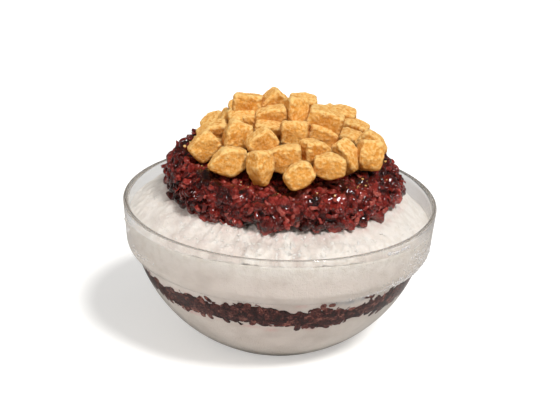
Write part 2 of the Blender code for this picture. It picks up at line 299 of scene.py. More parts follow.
# %% Group: patches of two colours
def patches_group():
    """Two colours in soft patches, with the patches' size, edge and balance as inputs."""
    colour, value = "NodeSocketColor", "NodeSocketFloat"
    tree, entry, exit_ = new_group(
        "patches",
        [("First", colour, (1, 1, 1, 1)), ("Second", colour, (0.5, 0.5, 0.5, 1)),
         ("Scale", value, 200.0), ("Low", value, 0.4), ("High", value, 0.6), ("Detail", value, 3.0)],
        [("Colour", colour), ("Mask", value)],
    )
    place = add(tree, "ShaderNodeTexCoord", (-900, -250))
    pattern = add(tree, "ShaderNodeTexNoise", (-600, 0))
    stretch = add(tree, "ShaderNodeMapRange", (-300, 0))
    stretch.interpolation_type = "SMOOTHSTEP"
    blend = add(tree, "ShaderNodeMix", (0, 0))
    blend.data_type = "RGBA"
    link = tree.links.new
    link(place.outputs["Object"], pattern.inputs["Vector"])
    link(entry.outputs["Scale"], pattern.inputs["Scale"])
    link(entry.outputs["Detail"], pattern.inputs["Detail"])
    link(pattern.outputs["Fac"], stretch.inputs["Value"])
    link(entry.outputs["Low"], stretch.inputs["From Min"])
    link(entry.outputs["High"], stretch.inputs["From Max"])
    link(stretch.outputs["Result"], blend.inputs["Factor"])
    link(entry.outputs["First"], blend.inputs["A"])
    link(entry.outputs["Second"], blend.inputs["B"])
    link(blend.outputs["Result"], exit_.inputs["Colour"])
    link(stretch.outputs["Result"], exit_.inputs["Mask"])
    return tree


# %% Group: a grainy normal
def grain_group():
    """Two sizes of grain added together and turned into a normal."""
    value, vector = "NodeSocketFloat", "NodeSocketVector"
    tree, entry, exit_ = new_group(
        "grain",
        [("Coarse", value, 300.0), ("Fine", value, 1500.0), ("Depth", value, 0.0003)],
        [("Normal", vector), ("Height", value)],
    )
    place = add(tree, "ShaderNodeTexCoord", (-900, -250))
    coarse = add(tree, "ShaderNodeTexNoise", (-600, 100), Detail=2.0)
    fine = add(tree, "ShaderNodeTexNoise", (-600, -200), Detail=3.0)
    total = add(tree, "ShaderNodeMath", (-300, 0))
    total.operation = "ADD"
    bump = add(tree, "ShaderNodeBump", (0, 0), Strength=1.0)
    link = tree.links.new
    for pattern, size in ((coarse, "Coarse"), (fine, "Fine")):
        link(place.outputs["Object"], pattern.inputs["Vector"])
        link(entry.outputs[size], pattern.inputs["Scale"])
    link(coarse.outputs["Fac"], total.inputs[0])
    link(fine.outputs["Fac"], total.inputs[1])
    link(total.outputs["Value"], bump.inputs["Height"])
    link(entry.outputs["Depth"], bump.inputs["Distance"])
    link(bump.outputs["Normal"], exit_.inputs["Normal"])
    link(total.outputs["Value"], exit_.inputs["Height"])
    return tree


PATCHES = patches_group()
GRAIN = grain_group()
print("node groups:", [group.name for group in bpy.data.node_groups])

# %% [markdown]
# ## Clear glass
# The bowl is clear pressed glass, so it is a plain transmission shader. A render finds it hard to light what
# lies behind glass, so shadow and diffuse rays pass straight through it, and only the rays that see the glass
# are bent and reflected. The cold bowl is misted above the ice and in spots. The mesh's mist mark, from 0 to 1,
# makes the glass there greyer and less smooth. Its lip mark darkens the top of the rim: a painted shade that
# draws the rim as a dark line.


# %% Glass finish
def mark_mix(tree, mark, colour, at, source):
    """Blends a colour in where an attribute of the mesh says so, and returns the blend."""
    where = add(tree, "ShaderNodeAttribute", at)
    where.attribute_name = mark
    blend = add(tree, "ShaderNodeMix", (at[0] + 250, at[1]))
    blend.data_type = "RGBA"
    tree.links.new(where.outputs["Fac"], blend.inputs["Factor"])
    tree.links.new(source, blend.inputs["A"])
    if isinstance(colour, tuple):
        blend.inputs["B"].default_value = colour
    else:
        tree.links.new(colour, blend.inputs["B"])
    return blend.outputs["Result"]


def clear_finish(name, ior, tint, clear_share):
    """A clear glossy stuff that lets light through to what lies behind it, darker at the lip as a painted shade."""
    finish, tree, shader = new_finish(name, IOR=ior, Transmission_Weight=clear_share)
    path = add(tree, "ShaderNodeLightPath", (-600, 300))
    either = add(tree, "ShaderNodeMath", (-300, 300))
    either.operation = "MAXIMUM"
    clear = add(tree, "ShaderNodeBsdfTransparent", (0, -200), Color=(0.96, 0.96, 0.955, 1))
    mist = add(tree, "ShaderNodeAttribute", (-900, -100))
    mist.attribute_name = "mist"
    rough = add(tree, "ShaderNodeMapRange", (-600, -100), To_Min=0.02, To_Max=0.24)
    grey = add(tree, "ShaderNodeMix", (-600, -400))
    grey.data_type = "RGBA"
    grey.inputs["A"].default_value = (*tint, 1)
    grey.inputs["B"].default_value = (0.62, 0.56, 0.53, 1)
    # Painted shade: the glass is darker along the top of the lip, where the lip mark is 1.
    painted_lip_shade = mark_mix(tree, "lip", (0.46, 0.45, 0.44, 1), (-300, -400), grey.outputs["Result"])
    blend = add(tree, "ShaderNodeMixShader", (400, 200))
    link = tree.links.new
    link(mist.outputs["Fac"], rough.inputs["Value"])
    link(mist.outputs["Fac"], grey.inputs["Factor"])
    link(rough.outputs["Result"], shader.inputs["Roughness"])
    link(painted_lip_shade, shader.inputs["Base Color"])
    link(path.outputs["Is Shadow Ray"], either.inputs[0])
    link(path.outputs["Is Diffuse Ray"], either.inputs[1])
    link(either.outputs["Value"], blend.inputs["Fac"])
    link(shader.outputs["BSDF"], blend.inputs[1])
    link(clear.outputs["BSDF"], blend.inputs[2])
    link(blend.outputs["Shader"], tree.nodes["Material Output"].inputs["Surface"])
    return finish


GLASS = clear_finish("pressed_glass", 1.45, (0.975, 0.98, 0.98), 1.0)

# %% [markdown]
# ## The bowl
# One closed wall runs from the middle of the floor, up the inside, over the rounded lip and down the outside
# to the flat base. Spinning the outline gives it in one step, with enough steps that the rim looks round.

# %% Spin the bowl
BOWL_STEPS = 180


def store_mark(piece, mark, values):
    """Stores a mark, from 0 to 1, for every point of a mesh."""
    field = piece.data.attributes.new(mark, "FLOAT", "POINT")
    field.data.foreach_set("value", np.clip(np.asarray(values, dtype=float), 0.0, 1.0))


def polar(points):
    """Radius and angle of each row of points."""
    return np.hypot(points[:, 0], points[:, 1]), np.arctan2(points[:, 1], points[:, 0])


def patches_round(points, places):
    """Soft spots on the glass: each has its angle in degrees, height, half width and half height in mm."""
    r, angle = polar(points)
    total = np.zeros(len(points))
    for middle, height, wide, high in places:
        across = ((np.degrees(angle) - middle + 180.0) % 360.0 - 180.0) * np.radians(1.0) * r / (wide * MM)
        up = (points[:, 2] - height * MM) / (high * MM)
        total += np.exp(-(across**2) - up**2)
    rough = np.array([0.75 + 0.9 * noise.noise(Vector(p) * 700.0) for p in points])
    return total * rough


MIST_PLACES = ((-40.0, 57.0, 16.0, 5.0), (-20.0, 62.0, 12.0, 7.0), (-155.0, 60.0, 11.0, 5.0))


def mist_on_glass():
    """Mist inside above the ice, most at the sides, and in spots on the band; a painted shade along the lip."""
    points = get_points(bowl_piece)
    r, angle = polar(points)
    inside = np.clip((RIM_RADIUS - 1.2 * MM - r) / MM, 0.0, 1.0)
    above = np.clip((points[:, 2] - (RIM_Z - 13 * MM)) / (3 * MM), 0.0, 1.0)
    below_lip = np.clip((RIM_Z - 1.0 * MM - points[:, 2]) / (2 * MM), 0.0, 1.0)
    amount = 0.3 + 0.62 * np.cos(angle)
    blotches = np.array([0.3 * noise.noise(Vector(p) * 60.0) for p in points])
    mist = inside * above * below_lip * np.clip(amount + blotches, 0.0, 1.0)
    store_mark(bowl_piece, "mist", mist + 0.45 * patches_round(points, MIST_PLACES) * (r > RIM_RADIUS - 12 * MM))
    # Painted shade: the lip mark is 1 along the top of the rim, where the glass finish draws it darker.
    store_mark(bowl_piece, "lip", np.clip((points[:, 2] - RIM_Z + 0.75 * MM) / (0.5 * MM), 0.0, 1.0))


bowl_piece = spun("glass_bowl", glass_outline, BOWL_STEPS)
mist_on_glass()
dressed(bowl_piece, "clear_glass", GLASS, "bowl")
print(f"the bowl has {len(bowl_piece.data.polygons)} faces")

# %% [markdown]
# ## Milk ice
# Shaved milk ice is matt and white with a warm tint. Against the glass it is pressed and wet, so it looks greyer
# in patches, most in front, and less grey towards the bottom of the bowl, which is a painted light. On the slope
# in front and to the left it is greyer in streaks and near the beans: a painted shade. It has a cool frost in
# places and pink syrup near the beans. Three attributes of the mesh say where: one for the wet grey with its
# painted light and shade, one for frost and one for syrup, each from 0 to 1 at every point.


# %% Ice finish
def ice_finish():
    """Milk ice: warm white, greyer where wet on the glass and with painted shade, and tinted by frost and syrup."""
    finish, tree, shader = new_finish(
        "shaved_milk_ice", Roughness=0.85, IOR=1.31, Specular_IOR_Level=0.2, Subsurface_Weight=0.35,
        Subsurface_Scale=0.0025,
    )
    shader.inputs["Subsurface Radius"].default_value = (1.0, 0.9, 0.8)
    dry = use_group(tree, PATCHES, (-1500, 300), First=(0.76, 0.705, 0.645, 1), Second=(0.69, 0.63, 0.565, 1),
                    Scale=240.0, Low=0.42, High=0.66)
    wet_and_painted_shading = use_group(tree, PATCHES, (-1500, 0), First=(0.67, 0.59, 0.535, 1), Second=(0.54, 0.46, 0.41, 1),
                    Scale=70.0, Low=0.35, High=0.75)
    # This mark greys the ice where it is wet on the glass, and also carries a painted shade on the slope.
    colour = mark_mix(tree, "wet_and_painted_shade_mark", wet_and_painted_shading.outputs["Colour"], (-1200, 200), dry.outputs["Colour"])
    colour = mark_mix(tree, "frost", (0.40, 0.39, 0.40, 1), (-900, 200), colour)
    colour = mark_mix(tree, "syrup", (0.62, 0.36, 0.33, 1), (-600, 200), colour)
    grain = use_group(tree, GRAIN, (-500, -300), Coarse=500.0, Fine=1600.0, Depth=0.0006)
    tree.links.new(colour, shader.inputs["Base Color"])
    tree.links.new(grain.outputs["Normal"], shader.inputs["Normal"])
    return finish


ICE = ice_finish()

# %% [markdown]
# ## Levels of the food
# The layers fill the bowl out to the glass. Each reaches a little way into the wall, because a gap of air
# between food and glass would look like a mirror. The bean layer's edges wander up and down as they go round,
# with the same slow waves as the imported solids, and a finer raggedness is added to them here.

# %% Sizes of the layers
REACH = 0.3 * MM
BEAN_LAYER_BOTTOM = 35.0 * MM
BEAN_LAYER_TOP = 45.6 * MM
BOTTOM_WANDER = 3.0 * MM
TOP_WANDER = 4.6 * MM
SIDE_THINNING = 3.6 * MM
MOUND_TOP = RIM_Z + 14.0 * MM
CAP_FOOT_RADIUS = 62.0 * MM
CAP_FOOT_Z = RIM_Z + 6.0 * MM
SLOPE_END_RADIUS = 79.0 * MM
SLOPE_END_Z = RIM_Z - 6.2 * MM
ICE_EDGE_Z = RIM_Z - 8.0 * MM
wall_line = shifted(softened(resampled(inside_wall + lip[:1], 1.2 * MM)), REACH)
wall_heights = [z for r, z in wall_line if r > 38.0 * MM]
wall_radii = [r for r, z in wall_line if r > 38.0 * MM]


def wall_radius(z, deeper=0.0):
    """How far out the food reaches at these heights: just into the glass."""
    return np.interp(z, wall_heights, wall_radii) + deeper


def round_wave(angle, waves, seed):
    """A value from -1 to 1 that wanders as it goes once round the bowl."""
    reach = waves / math.tau
    return noise.noise(Vector((reach * math.cos(angle), reach * math.sin(angle), seed)))


LOOSE_DIP = 3.9 * MM
LOOSE_ANGLE = -62.0


def bean_edges(angle):
    """The heights of the bean layer's lower and upper edge at an angle round the bowl."""
    low = BEAN_LAYER_BOTTOM + BOTTOM_WANDER * round_wave(angle, 17.0, 3.3)
    low += SIDE_THINNING * abs(math.cos(angle)) ** 5
    high = BEAN_LAYER_TOP + TOP_WANDER * round_wave(angle, 19.0, 8.1)
    high -= LOOSE_DIP * math.exp(-((math.degrees(angle) - LOOSE_ANGLE) / 10) ** 2)
    return low, high


def mound_height(r):
    """The ice's top: a dome under the beans, then a slope down to the glass."""
    dome = MOUND_TOP - (MOUND_TOP - CAP_FOOT_Z) * np.clip(r / CAP_FOOT_RADIUS, 0.0, 1.0) ** 2
    share = np.clip((r - CAP_FOOT_RADIUS) / (SLOPE_END_RADIUS - CAP_FOOT_RADIUS), 0.0, 1.3)
    slope = CAP_FOOT_Z - (CAP_FOOT_Z - SLOPE_END_Z) * share**1.25
    return np.where(r < CAP_FOOT_RADIUS, dome, slope)


def edge_lift(angle):
    """How much higher than its even line the ice meets the glass: nearly up to the rim in front."""
    away = round_wave(angle, 9.0, 12.0) + 0.4 * round_wave(angle, 31.0, 13.0)
    in_front = max(0.0, -math.sin(angle)) ** 2
    at_right = max(0.0, math.cos(angle - 0.35)) ** 2
    return (1.0 - 3.2 * at_right + 3.2 * in_front + 0.7 * away) * MM


print("bean layer edges in front:", [round(z / MM, 1) for z in bean_edges(-math.pi / 2)])

# %% [markdown]
# ## The ice under the beans
# It is turned from an outline that runs down the glass and along the floor. Its upper edge follows the lower
# edge of the bean layer, a little above it, so that the beans' ragged edge lies over it at the glass.

# %% Turn the lower ice
TUCK = 1.5 * MM


def wall_rows(high, low, step):
    """Points down the glass between two heights."""
    rows = max(2, math.ceil((high - low) / step) + 1)
    return [(float(wall_radius(z)), float(z)) for z in np.linspace(high, low, rows)]


FROST_PLACES = ((-59.0, 47.6, 6.0, 1.6), (-66.0, 48.8, 3.0, 1.4), (-52.5, 48.9, 3.0, 1.5), (-120.0, 44.8, 8.0, 1.2))
SYRUP_PLACES = ((-92.0, 31.6, 3.2, 1.3), (-74.0, 32.2, 2.6, 1.1), (-80.0, 48.6, 3.0, 1.2), (-101.0, 33.0, 5.0, 0.9),
                (-128.0, 33.5, 6.0, 1.1), (-70.0, 50.6, 2.5, 0.8))


def mark_ice(piece, syrup_line):
    """Marks wet ice on the glass, painted light and shade on the ice, frost, and pink syrup."""
    points = get_points(piece)
    r, angle = polar(points)
    inset = wall_radius(points[:, 2]) - r
    at_glass = np.clip(1.0 - inset / MM, 0.0, 1.0)
    at_glass = np.where(points[:, 2] < FLOOR_THICKNESS + MM, 1.0, at_glass)
    below_edge = np.clip((ICE_EDGE_Z + 2 * MM - points[:, 2]) / (9 * MM), 0.0, 1.0)
    in_front = np.clip(-np.sin(angle), 0.0, 1.0) ** 2
    # Painted shade: greyer streaks on the slope in front and to the left, more so near the heap of beans.
    streaks = np.array([noise.noise(Vector((a * 11.0, reach * 70.0, 5.0))) for a, reach in zip(angle, r)])
    front_left = np.clip(-np.sin(angle + 0.3), 0.0, 1.0) ** 2
    from_heap = np.hypot(points[:, 0] - 2 * MM, points[:, 1]) - CAP_FOOT_RADIUS
    near_heap = np.exp(-np.clip(from_heap, 0.0, None) / (7 * MM))
    painted_shade = (1.0 - at_glass) * front_left * np.clip(0.55 + 1.8 * streaks + 0.8 * near_heap, 0.0, 1.2)
    # Wet on the glass, most in front; it fades towards the bottom, a painted light there.
    wet_and_painted_shading = at_glass * below_edge * (0.15 + 0.85 * in_front) * (0.45 + 0.55 * np.clip((points[:, 2] - 8 * MM) / (12 * MM), 0.0, 1.0))
    store_mark(piece, "wet_and_painted_shade_mark", np.maximum(wet_and_painted_shading, painted_shade))
    store_mark(piece, "frost", at_glass * patches_round(points, FROST_PLACES))
    lines = np.array([syrup_line(a) for a in angle])
    seep = np.exp(-(((points[:, 2] - lines) / (1.6 * MM)) ** 2))
    drops = np.array([0.3 + 0.8 * noise.noise(Vector(p) * 330.0) for p in points])
    stain = at_glass * (0.5 * seep * drops + 0.8 * patches_round(points, SYRUP_PLACES))
    by_beans = (1.0 - at_glass) * np.clip(1.0 - np.abs(from_heap - 2 * MM) / (4 * MM), 0.0, 1.0)
    store_mark(piece, "syrup", stain + 0.5 * by_beans * drops)


def lower_ice():
    """The ice from the bowl's floor up to the bean layer."""
    top = BEAN_LAYER_BOTTOM
    floor = [(r, z) for r, z in reversed(wall_line) if r <= 38.0 * MM]
    outline = [(0.0, top), (60.0 * MM, top), *wall_rows(top, 9.0 * MM, 0.9 * MM), *floor]
    piece = spun("lower_ice", outline, 360)
    points = get_points(piece)
    r, angle = polar(points)
    on_wall = np.abs(r - wall_radius(points[:, 2])) < 0.5 * MM
    for k in range(len(points)):
        if points[k, 2] > 12 * MM and r[k] > MM:
            low = bean_edges(angle[k])[0] + TUCK
            share = (points[k, 2] - 12 * MM) / (top - 12 * MM)
            lifted = points[k, 2] + (low - top) * share
            if on_wall[k]:
                points[k, :2] *= wall_radius(lifted) / r[k]
            points[k, 2] = lifted
    set_points(piece, points)
    mark_ice(piece, lambda a: bean_edges(a)[0])
    return piece


lower_ice_piece = dressed(lower_ice(), "milk_ice", ICE, "ice_base")
print(f"the lower ice has {len(lower_ice_piece.data.polygons)} faces")

# %% [markdown]
# ## Sweet red beans
# Boiled red beans in syrup are dark maroon and glossy, with redder skins here and there. Every bean carries a
# tone from 0 to 1 as an attribute, and a colour ramp turns it into one of the beans' colours.


# %% Group: fine lines between beans
def seams_group():
    """A mask of thin wandering lines, as where skins of crushed beans meet."""
    value = "NodeSocketFloat"
    tree, entry, exit_ = new_group("seams", [("Scale", value, 300.0), ("Width", value, 0.1)], [("Mask", value)])
    place = add(tree, "ShaderNodeTexCoord", (-900, -250))
    wander = add(tree, "ShaderNodeTexNoise", (-900, 250), Scale=400.0, Detail=2.0)
    offset = add(tree, "ShaderNodeVectorMath", (-650, 100))
    offset.operation = "MULTIPLY_ADD"
    offset.inputs[1].default_value = (0.004, 0.004, 0.004)
    cells = add(tree, "ShaderNodeTexVoronoi", (-400, 0))
    cells.feature = "DISTANCE_TO_EDGE"
    near = add(tree, "ShaderNodeMapRange", (-100, 0), From_Min=0.0, To_Min=1.0, To_Max=0.0)
    link = tree.links.new
    link(place.outputs["Object"], wander.inputs["Vector"])
    link(wander.outputs["Color"], offset.inputs[0])
    link(place.outputs["Object"], offset.inputs[2])
    link(offset.outputs["Vector"], cells.inputs["Vector"])
    link(entry.outputs["Scale"], cells.inputs["Scale"])
    link(cells.outputs["Distance"], near.inputs["Value"])
    link(entry.outputs["Width"], near.inputs["From Max"])
    link(near.outputs["Result"], exit_.inputs["Mask"])
    return tree


SEAMS = seams_group()


# %% Bean finishes
def bean_finish(name, colours, purple, mottling, seam_strength, **inputs):
    """Beans coloured by their tone, with mottled skins, light seams and patches of purple-brown."""
    finish, tree, shader = new_finish(name, IOR=1.4, **inputs)
    mark = add(tree, "ShaderNodeAttribute", (-1400, 300))
    mark.attribute_name = "tone"
    mottle = use_group(tree, PATCHES, (-1400, 0), First=(1, 1, 1, 1), Second=(0, 0, 0, 1), Scale=450.0,
                       Low=0.3, High=0.75)
    seams = use_group(tree, SEAMS, (-1400, -300), Scale=330.0, Width=0.12)
    total = mark.outputs["Fac"]
    for source, strength, offset in ((mottle, mottling, -0.5 * mottling), (seams, seam_strength, 0.0)):
        part = add(tree, "ShaderNodeMath", (-1150, 100))
        part.operation = "MULTIPLY_ADD"
        part.inputs[1].default_value = strength
        part.inputs[2].default_value = offset
        together = add(tree, "ShaderNodeMath", (-950, 100))
        tree.links.new(source.outputs["Mask"], part.inputs[0])
        tree.links.new(part.outputs["Value"], together.inputs[0])
        tree.links.new(total, together.inputs[1])
        total = together.outputs["Value"]
    ramp = add(tree, "ShaderNodeValToRGB", (-700, 100))
    while len(ramp.color_ramp.elements) < len(colours):
        ramp.color_ramp.elements.new(0.5)
    for element, (place, colour) in zip(ramp.color_ramp.elements, colours):
        element.position = place
        element.color = (*colour, 1)
    darker = use_group(tree, PATCHES, (-700, -200), Scale=70.0, Low=0.5, High=0.68)
    blend = add(tree, "ShaderNodeMix", (-350, 0))
    blend.data_type = "RGBA"
    blend.blend_type = "MULTIPLY"
    blend.inputs["B"].default_value = (*purple, 1)
    grain = use_group(tree, GRAIN, (-500, -400), Coarse=550.0, Fine=1300.0, Depth=0.0022)
    link = tree.links.new
    link(total, ramp.inputs["Fac"])
    link(darker.outputs["Mask"], blend.inputs["Factor"])
    link(ramp.outputs["Color"], blend.inputs["A"])
    link(blend.outputs["Result"], shader.inputs["Base Color"])
    link(grain.outputs["Normal"], shader.inputs["Normal"])
    return finish


BEAN_COLOURS = (
    (0.0, (0.014, 0.002, 0.001)),
    (0.35, (0.125, 0.007, 0.004)),
    (0.7, (0.345, 0.028, 0.019)),
    (1.0, (0.52, 0.100, 0.072)),
)
BEANS = bean_finish("glossy_red_beans", BEAN_COLOURS, (0.50, 0.80, 0.85), 0.35, 0.0, Roughness=0.2,
                    Specular_IOR_Level=0.45, Coat_Weight=0.85, Coat_Roughness=0.09)
LAYER_COLOURS = (
    (0.0, (0.020, 0.004, 0.003)),
    (0.35, (0.050, 0.009, 0.007)),
    (0.7, (0.130, 0.031, 0.024)),
    (1.0, (0.34, 0.115, 0.085)),
)
LAYER = bean_finish("pressed_red_beans", LAYER_COLOURS, (0.8, 0.9, 0.95), 0.5, 0.3, Roughness=0.7,
                    Specular_IOR_Level=0.1)


def set_tone(piece, values):
    """Stores a tone for every point of a mesh."""
    store_mark(piece, "tone", values)


# %% [markdown]
# ## The bean layer
# Seen through the glass it is a dark band with ragged edges, where single beans stick up or hang down. The
# band is turned, and then its points are moved: the edges follow the slow waves and get a fine raggedness.

# %% Turn the bean layer
LAYER_STEPS = 420
LAYER_DEEPER = 0.12 * MM
RAGGED = 1.5 * MM
LUMPS_ROUND = 90.0
FRAY_ROUND = 300.0


def bean_layer():
    """The band of beans between the two ices, ragged at the glass."""
    rows = 15
    shares = np.linspace(0.0, 1.0, rows)
    wall = [(70 * MM, BEAN_LAYER_TOP - (BEAN_LAYER_TOP - BEAN_LAYER_BOTTOM) * s) for s in shares]
    outline = [(0.0, BEAN_LAYER_TOP), (60 * MM, BEAN_LAYER_TOP), *wall]
    outline += [(60 * MM, BEAN_LAYER_BOTTOM), (0.0, BEAN_LAYER_BOTTOM)]
    piece = spun("bean_band", outline, LAYER_STEPS)
    points = get_points(piece)
    r, angle = polar(points)
    thickness = BEAN_LAYER_TOP - BEAN_LAYER_BOTTOM
    for k in range(len(points)):
        if r[k] < MM:
            continue
        a = angle[k]
        low, high = bean_edges(a)
        fray = 0.45 * round_wave(a, FRAY_ROUND, 5.0)
        low += RAGGED * (round_wave(a, LUMPS_ROUND, 1.0) + fray)
        high += RAGGED * (1.2 * round_wave(a, LUMPS_ROUND, 2.0) + 0.45 * round_wave(a, FRAY_ROUND, 6.0))
        share = (points[k, 2] - BEAN_LAYER_BOTTOM) / thickness
        z = low + (high - low) * share
        if r[k] > 62 * MM:
            points[k, :2] *= wall_radius(z, LAYER_DEEPER) / r[k]
        points[k, 2] = z
    set_points(piece, points)
    tones = [0.35 + 0.5 * noise.noise(Vector(p) * 260.0) for p in points]
    set_tone(piece, np.clip(tones, 0.0, 1.0))
    return piece


bean_band = dressed(bean_layer(), "red_beans", LAYER, "bean_layer")
print(f"the bean layer has {len(bean_band.data.polygons)} faces")

# %% [markdown]
# ## The ice above the bean layer
# This is the largest body of ice. Its top slopes from under the beans down to the glass, and the part that
# shows is fluffy, with soft ridges that run down the slope where the flakes have slid.

# %% Turn and roughen the upper ice
MOUND_STEPS = 480
RIDGE_DEPTH = 0.5 * MM
FRONT_RIDGE_DEPTH = 2.3 * MM
LUMP_DEPTH = 1.2 * MM
FLUFF_DEPTH = 0.45 * MM
FRONT_FLUFF_DEPTH = 1.0 * MM


def fluff(point, r, angle):
    """How far shaved ice stands proud of its even slope at this place."""
    away = Vector((math.cos(angle) * 22.0, math.sin(angle) * 22.0, r * 90.0))
    in_front = max(0.0, -math.sin(angle)) ** 6
    ridges = (RIDGE_DEPTH + FRONT_RIDGE_DEPTH * in_front) * noise.noise(away)
    lumps = LUMP_DEPTH * noise.noise(point * 110.0)
    fine = noise.noise(point * 330.0) + 0.4 * noise.noise(point * 700.0)
    return ridges + lumps + (FLUFF_DEPTH + FRONT_FLUFF_DEPTH * in_front) * fine


def upper_ice():
    """The ice from the bean layer up to the beans on top."""
    bottom = BEAN_LAYER_TOP - 2 * MM
    radii = [0.0, 20 * MM, 40 * MM, 50 * MM, *np.arange(56.0, 81.6, 0.75) * MM]
    top = [(float(r), float(mound_height(np.array(r)))) for r in radii]
    outline = [*top, *wall_rows(ICE_EDGE_Z, bottom, 0.9 * MM), (60 * MM, bottom), (0.0, bottom)]
    piece = spun("upper_ice", outline, MOUND_STEPS)
    points = get_points(piece)
    r, angle = polar(points)
    on_top = points[:, 2] > ICE_EDGE_Z - 0.3 * MM
    for k in range(len(points)):
        if r[k] < MM:
            continue
        if on_top[k]:
            fade = min(1.0, (r[k] - 50 * MM) / (6 * MM)) if r[k] > 50 * MM else 0.0
            edge = min(1.0, (82.0 * MM - r[k]) / (3 * MM))
            points[k, 2] += fluff(Vector(points[k]), r[k], angle[k]) * fade * (0.35 + 0.65 * edge)
            points[k, 2] -= 0.8 * MM * fade
            outer = np.clip((r[k] - 66 * MM) / (12 * MM), 0.0, 1.0)
            points[k, 2] += edge_lift(angle[k]) * outer * outer * (3 - 2 * outer)
        elif points[k, 2] > STEP_Z:
            share = (points[k, 2] - STEP_Z) / (ICE_EDGE_Z - STEP_Z)
            points[k, 2] += edge_lift(angle[k]) * share
            points[k, :2] *= wall_radius(points[k, 2]) / r[k]
        else:
            high = bean_edges(angle[k])[1] - TUCK
            share = (STEP_Z - points[k, 2]) / (STEP_Z - bottom)
            z = points[k, 2] + (high - bottom) * share
            if r[k] > 62 * MM:
                points[k, :2] *= wall_radius(z) / r[k]
            points[k, 2] = z
    set_points(piece, points)
    mark_ice(piece, lambda a: bean_edges(a)[1])
    return piece


upper_ice_piece = dressed(upper_ice(), "milk_ice", ICE, "ice_mound")
print(f"the upper ice has {len(upper_ice_piece.data.polygons)} faces")

# %% [markdown]
# ## Many small things
# Beans, flakes and crumbs are each modelled once with few faces and then repeated. The copies are worked out
# as one array, every copy with its own turn, size and tone, and joined into one mesh for each kind. Their
# places are drawn from the surface they lie on, and kept a little apart so that they don't clump.


# %% Helpers for scattering
def triangles(piece):
    """Corners, areas and outward directions of a mesh's triangles."""
    mesh = piece.data
    mesh.calc_loop_triangles()
    index = np.empty(len(mesh.loop_triangles) * 3, dtype=int)
    mesh.loop_triangles.foreach_get("vertices", index)
    corners = get_points(piece)[index.reshape(-1, 3)]
    cross = np.cross(corners[:, 1] - corners[:, 0], corners[:, 2] - corners[:, 0])
    length = np.linalg.norm(cross, axis=1)
    return corners, length / 2, cross / np.maximum(length, 1e-12)[:, None]


def drawn_places(piece, count, rng, weight):
    """Random places on a mesh, more of them where the weight of (centre, direction) is larger."""
    corners, areas, facing = triangles(piece)
    chance = areas * weight(corners.mean(axis=1), facing)
    picked = rng.choice(len(areas), size=count, p=chance / chance.sum())
    a = rng.random((count, 1))
    b = rng.random((count, 1))
    over = a + b > 1
    a = np.where(over, 1 - a, a)
    b = np.where(over, 1 - b, b)
    c = corners[picked]
    return c[:, 0] + a * (c[:, 1] - c[:, 0]) + b * (c[:, 2] - c[:, 0]), facing[picked]


def spread(places, facing, gap):
    """Drops each place that lies nearer than a gap to one that is kept."""
    kept = []
    for k, place in enumerate(places):
        near = places[kept]
        if not kept or np.min(np.linalg.norm(near - place, axis=1)) > gap:
            kept.append(k)
    return places[kept], facing[kept]


def lying_turns(facing, rng, tilt):
    """Turns that lay a model's Z along the surface's direction, spun at random and tilted a little."""
    turns = np.empty((len(facing), 3, 3))
    for k, direction in enumerate(facing):
        lean = Vector(direction) + tilt * Vector(rng.normal(size=3))
        lay = lean.to_track_quat("Z", "Y").to_matrix()
        turns[k] = lay @ Matrix.Rotation(rng.uniform(0.0, math.tau), 3, "Z")
    return turns


def repeated(name, model, places, turns, sizes, tones=None):
    """One mesh with a copy of the model at every place; the model itself is removed."""
    shape = get_points(model)
    faces = [tuple(polygon.vertices) for polygon in model.data.polygons]
    points = np.einsum("nij,nvj->nvi", turns, shape[None] * sizes[:, None, :]) + places[:, None, :]
    every = []
    for k in range(len(places)):
        start = k * len(shape)
        every.extend(tuple(start + v for v in face) for face in faces)
    mesh = bpy.data.meshes.new(name)
    mesh.from_pydata(points.reshape(-1, 3).tolist(), [], every)
    mesh.update()
    piece = bpy.data.objects.new(name, mesh)
    bpy.context.scene.collection.objects.link(piece)
    bpy.data.objects.remove(model)
    only(piece)
    bpy.ops.object.shade_smooth()
    if tones is not None:
        set_tone(piece, np.repeat(tones, len(shape)))
    return piece


# %% [markdown]
# ## The bean paste
# The cap is mostly crushed beans: lumps and creases with skins folded into them, and some beans that are still
# whole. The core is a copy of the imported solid. Its doubled points are merged, it is remeshed evenly, and every
# point is moved along its normal by three patterns: lumps, the bumps of buried beans, and fine crumples.


# %% Copy and roughen the core
def merged_copy(node, name):
    """A copy of a solid with its own mesh, its loose triangles merged."""
    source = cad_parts[node]
    piece = bpy.data.objects.new(name, source.data.copy())
    bpy.context.scene.collection.objects.link(piece)
    piece.data.name = name
    only(piece)
    bpy.ops.object.mode_set(mode="EDIT")
    bpy.ops.mesh.select_all(action="SELECT")
    bpy.ops.mesh.remove_doubles(threshold=0.001 * MM)
    bpy.ops.object.mode_set(mode="OBJECT")
    return piece


def point_normals(piece):
    """The outward direction at every point."""
    normals = np.empty(len(piece.data.vertices) * 3)
    piece.data.vertices.foreach_get("normal", normals)
    return normals.reshape(-1, 3)


def folded(point, seed):
    """A ridge pattern from 0 to 1: sharp crests where a noise passes through zero."""
    return 1.0 - min(1.0, 3.2 * abs(noise.noise(point + Vector((seed, 0.0, 0.0)))))


